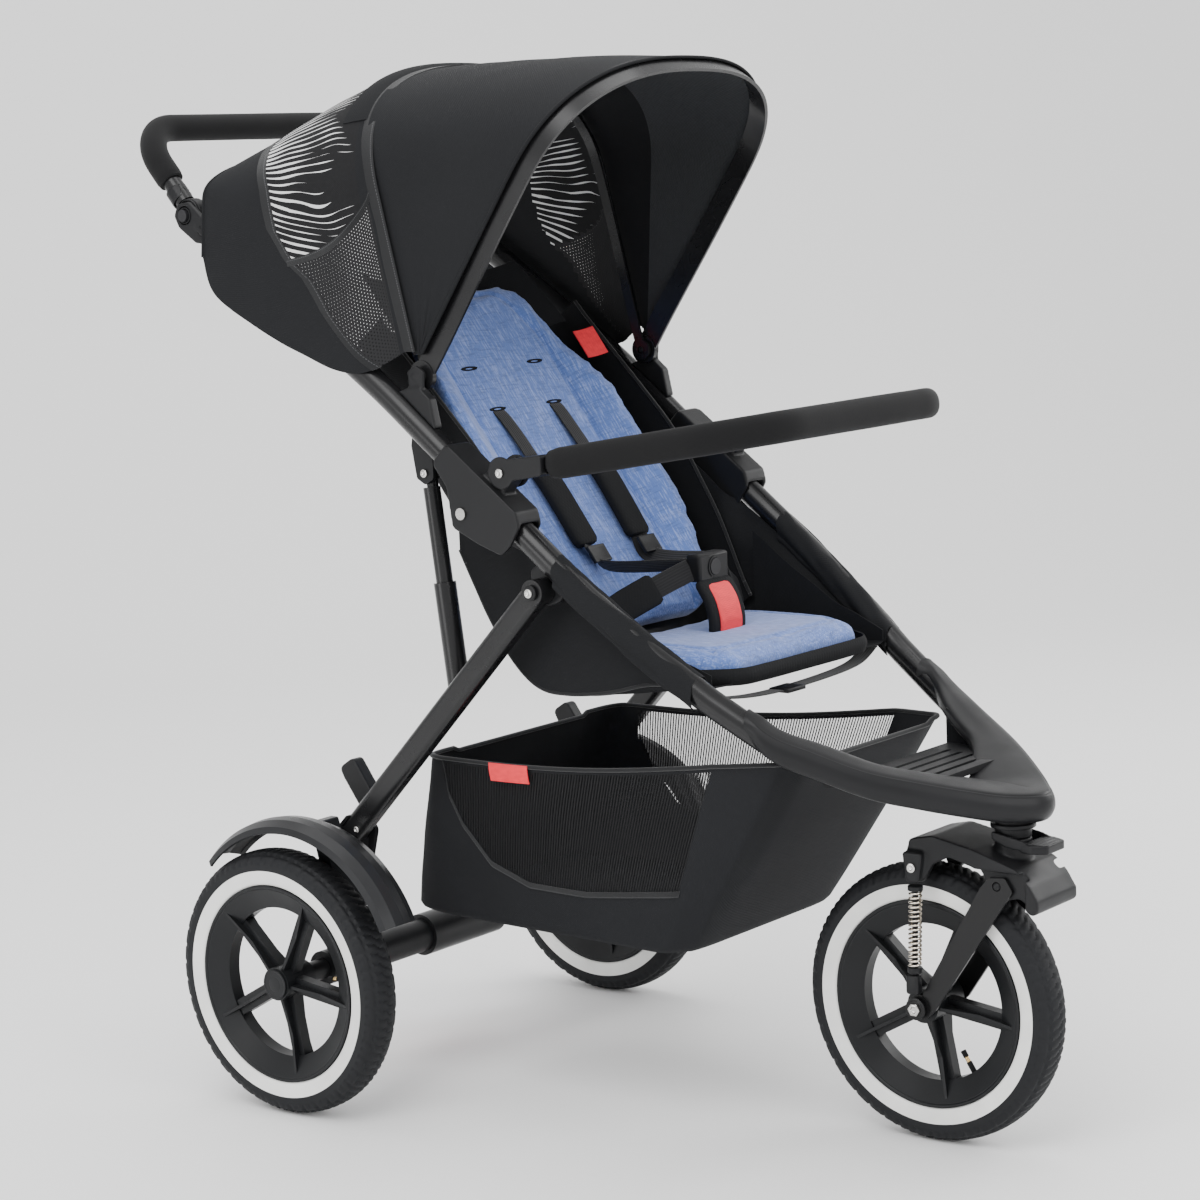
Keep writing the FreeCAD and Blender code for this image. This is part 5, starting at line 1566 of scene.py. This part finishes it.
def make_basket(looks):
    """Sagging cloth basket with net sides and piping."""
    def place(u, v):
        if v < FLOOR_SHARE:
            k = v / FLOOR_SHARE
            edge = basket_point(u, 0.0)
            middle = at(0, 20, 205)
            spot = middle.lerp(edge, k)
            spot.z = edge.z - 5 * MM * (1 - k * k) + 1.2 * MM * ripple(spot, 16, 3.0) * (1 - k)
            return spot
        return basket_point(u, (v - FLOOR_SHARE) / (1 - FLOOR_SHARE))

    tub = skin("basket_tub", 220, 46, place, BASKET_SIZE)
    painted(tub, FINISHES["basket_cloth"], FINISHES["basket_net"])
    uv = tub.data.uv_layers.active.data
    for face in tub.data.polygons:
        u, v = middle_uv(face, uv, BASKET_SIZE)
        t = (v - FLOOR_SHARE) / (1 - FLOOR_SHARE)
        y = face.center.y / MM + CENTRE_Y
        beside = NET_RIGHT[0] < u < NET_RIGHT[1] or NET_LEFT[0] < u < NET_LEFT[1]
        face.material_index = 1 if beside and net_edge(y) < t < NET_TOP else 0
    weld(tub)
    thicken(tub, looks.cloth_thickness, -1.0)
    soften(tub, 60)
    done(tub, "front_frame", "basket_fabric", "basket")
    rim = sweep("basket_piping", lambda t: basket_point(t % 1.0, 1.0), oval(5.0, 6.0), 10, 220,
                Vector((0, 0, 1)), (0.016, 1.6))
    done(soften(painted(rim, FINISHES["seam_tape"]), 60), "front_frame", "basket_fabric")
    for name, side in SIDES:
        def binding(u, v):
            width = NET_RIGHT[1] - NET_RIGHT[0]
            along = NET_RIGHT[0] + width * u if side < 0 else NET_LEFT[1] - width * u
            y = soft_loop(BASKET_RIM, along).y * 0.55 + soft_loop(BASKET_BASE, along).y * 0.45
            spot = basket_point(along, clamp01(net_edge(y) - 0.018 + 0.036 * v))
            return spot + Vector((side * 0.9 * MM, 0, 0))

        tape = thicken(weld(skin("net_binding_" + name, 100, 3, binding, (0.5, 0.015))), 0.0008, 0.0)
        done(soften(painted(tape, FINISHES["seam_tape"]), 60), "front_frame", "basket_fabric")


def make_webbing():
    """Straps under the seat with their ladder lock."""
    under = [at(168, -214, 500), at(120, -222, 488), at(40, -226, 484), at(-60, -226, 484),
             at(-130, -220, 490), at(-168, -212, 502)]
    strap("under_seat_strap", under, 20, 1.6, Vector((0, 1, 0)), "front_frame")
    lock = block("ladder_lock", at(-20, -229, 483), (34, 26, 5))
    rounded(dished(lock, (0, 0, -1), 5, -1.6), 1.2, 3)
    done(soften(painted(lock, FINISHES["grained_black"]), 40), "front_frame", "moulded_plastic")


def make_tags():
    """Small plain red tags sewn into the seams."""
    def seat_tag(u, v):
        return on_back(134 + 30 * v, -36 - 8 * v + 2 * math.sin(3 * v), 364 + 38 * u)

    tag = thicken(skin("seat_tag", 12, 10, seat_tag, (0.034, 0.024)), 0.0012, 0.0)
    done(soften(painted(tag, FINISHES["tag_red"]), 60), "seat_back", "seat_fabric")

    def basket_tag(u, v):
        spot = basket_point(0.078 + 0.040 * u + 0.002 * v, 1.0)
        return spot + Vector((-0.0035 - 0.001 * math.sin(3 * v), 0, 0.002 - 0.020 * v))

    tag = thicken(skin("basket_tag", 12, 10, basket_tag, (0.034, 0.024)), 0.0012, 0.0)
    done(soften(painted(tag, FINISHES["tag_red"]), 60), "front_frame", "basket_fabric")


def make_screws():
    """Screw heads and hub rings on the joints of the frame."""
    for name, side in SIDES:
        out = (side, 0, 0)
        screw_head("canopy_screw_" + name, (side * 205.4, *CANOPY_PIVOT), out, 4.6, "canopy_front_bow")
        screw_head("bumper_screw_" + name, (side * 228.2, *BUMPER_PIVOT), out, 5.0, "bumper_bar")
        screw_head("strut_screw_" + name, (side * 204.6, *STRUT_PIVOT), out, 4.6, "upper_frame")
        screw_head("leg_screw_" + name, (side * 237.2, *LEG_PIVOT), out, 5.0, "front_frame")
        for k, bolt in enumerate(SHOE_BOLTS):
            screw_head("shoe_screw_%s_%d" % (name, k), (side * 233.2, *bolt), out, 3.6, "rear_legs")
        fresh()
        bpy.ops.mesh.primitive_torus_add(major_radius=17.4 * MM, minor_radius=1.3 * MM, major_segments=56,
                                         minor_segments=12, location=at(side * 220.8, *HANDLE_PIVOT),
                                         rotation=(0, math.pi / 2, 0))
        ring = settle(take("handle_ring_" + name))
        done(soften(painted(ring, FINISHES["grained_black"]), 60), "handlebar", "moulded_plastic")


# ---------------------------------------------------------------- stage

CAMERA_PLACE = (-2.62798, -2.03766, 1.04327)
CAMERA_TURN = (-51.6646, 8.1717, -2.445)
CAMERA_LENS = 88.76
LIGHT_AIM = Vector((0, 0, 0.55))
# name, place in metres, side in metres and power in watts
LIGHTS = (("key_light", (-2.6, -0.6, 3.4), 2.4, 95), ("front_light", (-0.6, -3.8, 1.9), 2.0, 50),
          ("side_light", (2.8, -1.4, 1.8), 1.8, 42), ("top_light", (0.4, 0.6, 3.9), 2.6, 70),
          ("low_light", (-3.4, 1.2, 0.7), 1.4, 22))
SWEEP_START = 3.0
SWEEP_RADIUS = 2.0


def make_stage(looks):
    """Pale floor and backdrop, soft studio lights and the camera."""
    tree, shader = blank("studio_floor", Roughness=0.55)
    soft = node(tree, "TexNoise", {"Vector": coordinates(tree), "Scale": 2.0, "Detail": 2.0})
    colour = tuple(looks.floor_colour)
    tone = mixed(tree, soft.outputs["Fac"], scaled(colour, 0.99), scaled(colour, 1.01))
    tree.links.new(tone, shader.inputs["Base Color"])
    back = Vector((0.62, 0.78, 0)).normalized()
    across = Vector((back.y, -back.x, 0))

    def place(u, v):
        distance = -5.0 + 13.0 * v
        height = 0.0
        if distance > SWEEP_START:
            a = min((distance - SWEEP_START) / SWEEP_RADIUS, math.pi / 2)
            height = SWEEP_RADIUS * (1 - math.cos(a)) + max(0.0, distance - SWEEP_START - math.pi)
            distance = SWEEP_START + SWEEP_RADIUS * math.sin(a)
        spot = across * (u - 0.5) * 16 + back * distance
        return Vector((spot.x, spot.y, height))

    floor = skin("studio_sweep", 4, 60, place)
    painted(soften(floor, 60), FINISHES["studio_floor"])
    world = bpy.data.worlds.new("studio")
    world.use_nodes = True
    world.node_tree.nodes["Background"].inputs["Color"].default_value = (1.0, 1.0, 1.0, 1.0)
    world.node_tree.nodes["Background"].inputs["Strength"].default_value = 1.1
    bpy.context.scene.world = world
    hang_lights()
    place_camera()


def hang_lights():
    """Soft square lights round the chair, turned towards its middle."""
    for name, place, size, power in LIGHTS:
        lamp = bpy.data.lights.new(name, "AREA")
        lamp.shape = "SQUARE"
        lamp.size = size
        lamp.energy = power
        holder = bpy.data.objects.new(name, lamp)
        holder.location = place
        holder.rotation_euler = (LIGHT_AIM - Vector(place)).to_track_quat("-Z", "Y").to_euler()
        bpy.context.scene.collection.objects.link(holder)


def place_camera():
    """The main camera: its turn is azimuth, elevation and roll in degrees."""
    azimuth, elevation, roll = (math.radians(a) for a in CAMERA_TURN)
    away = Vector((math.sin(azimuth) * math.cos(elevation), -math.cos(azimuth) * math.cos(elevation),
                   math.sin(elevation)))
    right = Vector((math.cos(azimuth), math.sin(azimuth), 0))
    up = away.cross(right)
    turned_right = right * math.cos(roll) + up * math.sin(roll)
    turned_up = up * math.cos(roll) - right * math.sin(roll)
    lens = bpy.data.cameras.new("main_camera")
    lens.lens = CAMERA_LENS
    lens.sensor_width = 36.0
    camera = bpy.data.objects.new("main_camera", lens)
    camera.matrix_world = Matrix((turned_right, turned_up, away)).transposed().to_4x4()
    camera.location = CAMERA_PLACE
    bpy.context.scene.collection.objects.link(camera)
    bpy.context.scene.camera = camera


# ---------------------------------------------------------------- operators

class MakeFinishes(bpy.types.Operator):
    """Make every finish and give the frame's nodes theirs"""
    bl_idname = "pushchair.make_finishes"
    bl_label = "Finishes and frame"

    def execute(self, context):
        make_finishes(context.scene.pushchair)
        finish_frame()
        return {"FINISHED"}


class MakeTyres(bpy.types.Operator):
    """Make the three air tyres with their tread and pale bands"""
    bl_idname = "pushchair.make_tyres"
    bl_label = "Tyres"

    def execute(self, context):
        make_tyres(context.scene.pushchair)
        return {"FINISHED"}


class MakeWheelDetails(bpy.types.Operator):
    """Make the rim lips, valves, hub caps and axle bolts"""
    bl_idname = "pushchair.make_wheel_details"
    bl_label = "Wheel details"

    def execute(self, context):
        make_wheel_details()
        return {"FINISHED"}


class MakeSprings(bpy.types.Operator):
    """Make the front fork's coil springs"""
    bl_idname = "pushchair.make_springs"
    bl_label = "Springs"

    def execute(self, context):
        make_springs(context.scene.pushchair)
        return {"FINISHED"}


class MakeMouldings(bpy.types.Operator):
    """Make the rounded plastic mouldings of the joints, crown and clips"""
    bl_idname = "pushchair.make_mouldings"
    bl_label = "Mouldings"

    def execute(self, context):
        make_mouldings()
        return {"FINISHED"}


class MakeNose(bpy.types.Operator):
    """Make the smooth nose over the front of the lower rails"""
    bl_idname = "pushchair.make_nose"
    bl_label = "Nose"

    def execute(self, context):
        make_nose()
        return {"FINISHED"}


class MakeFoam(bpy.types.Operator):
    """Make the foam of the handlebar and of the bumper bar"""
    bl_idname = "pushchair.make_foam"
    bl_label = "Foam grips"

    def execute(self, context):
        make_handle_foam()
        make_bumper_foam()
        return {"FINISHED"}


class MakeCanopy(bpy.types.Operator):
    """Make the canopy's cover, lining, rear panels and seams"""
    bl_idname = "pushchair.make_canopy"
    bl_label = "Canopy"

    def execute(self, context):
        make_canopy_cover(context.scene.pushchair)
        make_canopy_back(context.scene.pushchair)
        return {"FINISHED"}


class MakeSeatCloth(bpy.types.Operator):
    """Make the seat's hammock, sleeves, side panels and wings"""
    bl_idname = "pushchair.make_seat_cloth"
    bl_label = "Seat cloth"

    def execute(self, context):
        make_hammock(context.scene.pushchair)
        make_wings(context.scene.pushchair)
        return {"FINISHED"}


class MakePads(bpy.types.Operator):
    """Make the padded blue liner of the seat and backrest"""
    bl_idname = "pushchair.make_pads"
    bl_label = "Liner pads"

    def execute(self, context):
        make_pads(context.scene.pushchair)
        return {"FINISHED"}


class MakeHarness(bpy.types.Operator):
    """Make the harness with its covers, webbing and buckle"""
    bl_idname = "pushchair.make_harness"
    bl_label = "Harness"

    def execute(self, context):
        make_harness()
        make_webbing()
        return {"FINISHED"}


class MakeBasket(bpy.types.Operator):
    """Make the shopping basket with its net sides and piping"""
    bl_idname = "pushchair.make_basket"
    bl_label = "Basket"

    def execute(self, context):
        make_basket(context.scene.pushchair)
        return {"FINISHED"}


class MakeSmallParts(bpy.types.Operator):
    """Make the plain red tags and the screw heads"""
    bl_idname = "pushchair.make_small_parts"
    bl_label = "Tags and screws"

    def execute(self, context):
        make_tags()
        make_screws()
        return {"FINISHED"}


class MakeStage(bpy.types.Operator):
    """Make the floor, the lights and the camera"""
    bl_idname = "pushchair.make_stage"
    bl_label = "Stage"

    def execute(self, context):
        make_stage(context.scene.pushchair)
        return {"FINISHED"}


MAKERS = (MakeStage, MakeFinishes, MakeMouldings, MakeTyres, MakeWheelDetails, MakeSprings, MakeNose,
          MakeFoam, MakeCanopy, MakeSeatCloth, MakePads, MakeHarness, MakeBasket, MakeSmallParts)


class PushchairPanel(bpy.types.Panel):
    """Lists the pushchair's settings and makers in the sidebar"""
    bl_idname = "VIEW3D_PT_pushchair"
    bl_label = "Pushchair"
    bl_space_type = "VIEW_3D"
    bl_region_type = "UI"
    bl_category = "Pushchair"

    def draw(self, context):
        for name in PushchairLooks.__annotations__:
            self.layout.prop(context.scene.pushchair, name)
        for maker in MAKERS:
            self.layout.operator(maker.bl_idname)


def register():
    """Adds the settings, the makers and their panel."""
    for kind in (PushchairLooks, *MAKERS, PushchairPanel):
        bpy.utils.register_class(kind)
    bpy.types.Scene.pushchair = bpy.props.PointerProperty(type=PushchairLooks)


def unregister():
    """Takes everything away again."""
    del bpy.types.Scene.pushchair
    for kind in (PushchairPanel, *reversed(MAKERS), PushchairLooks):
        bpy.utils.unregister_class(kind)


def main():
    """Makes the whole chair."""
    register()
    for maker in MAKERS:
        getattr(bpy.ops.pushchair, maker.bl_idname.split(".")[1])()


if __name__ == "__main__":
    main()
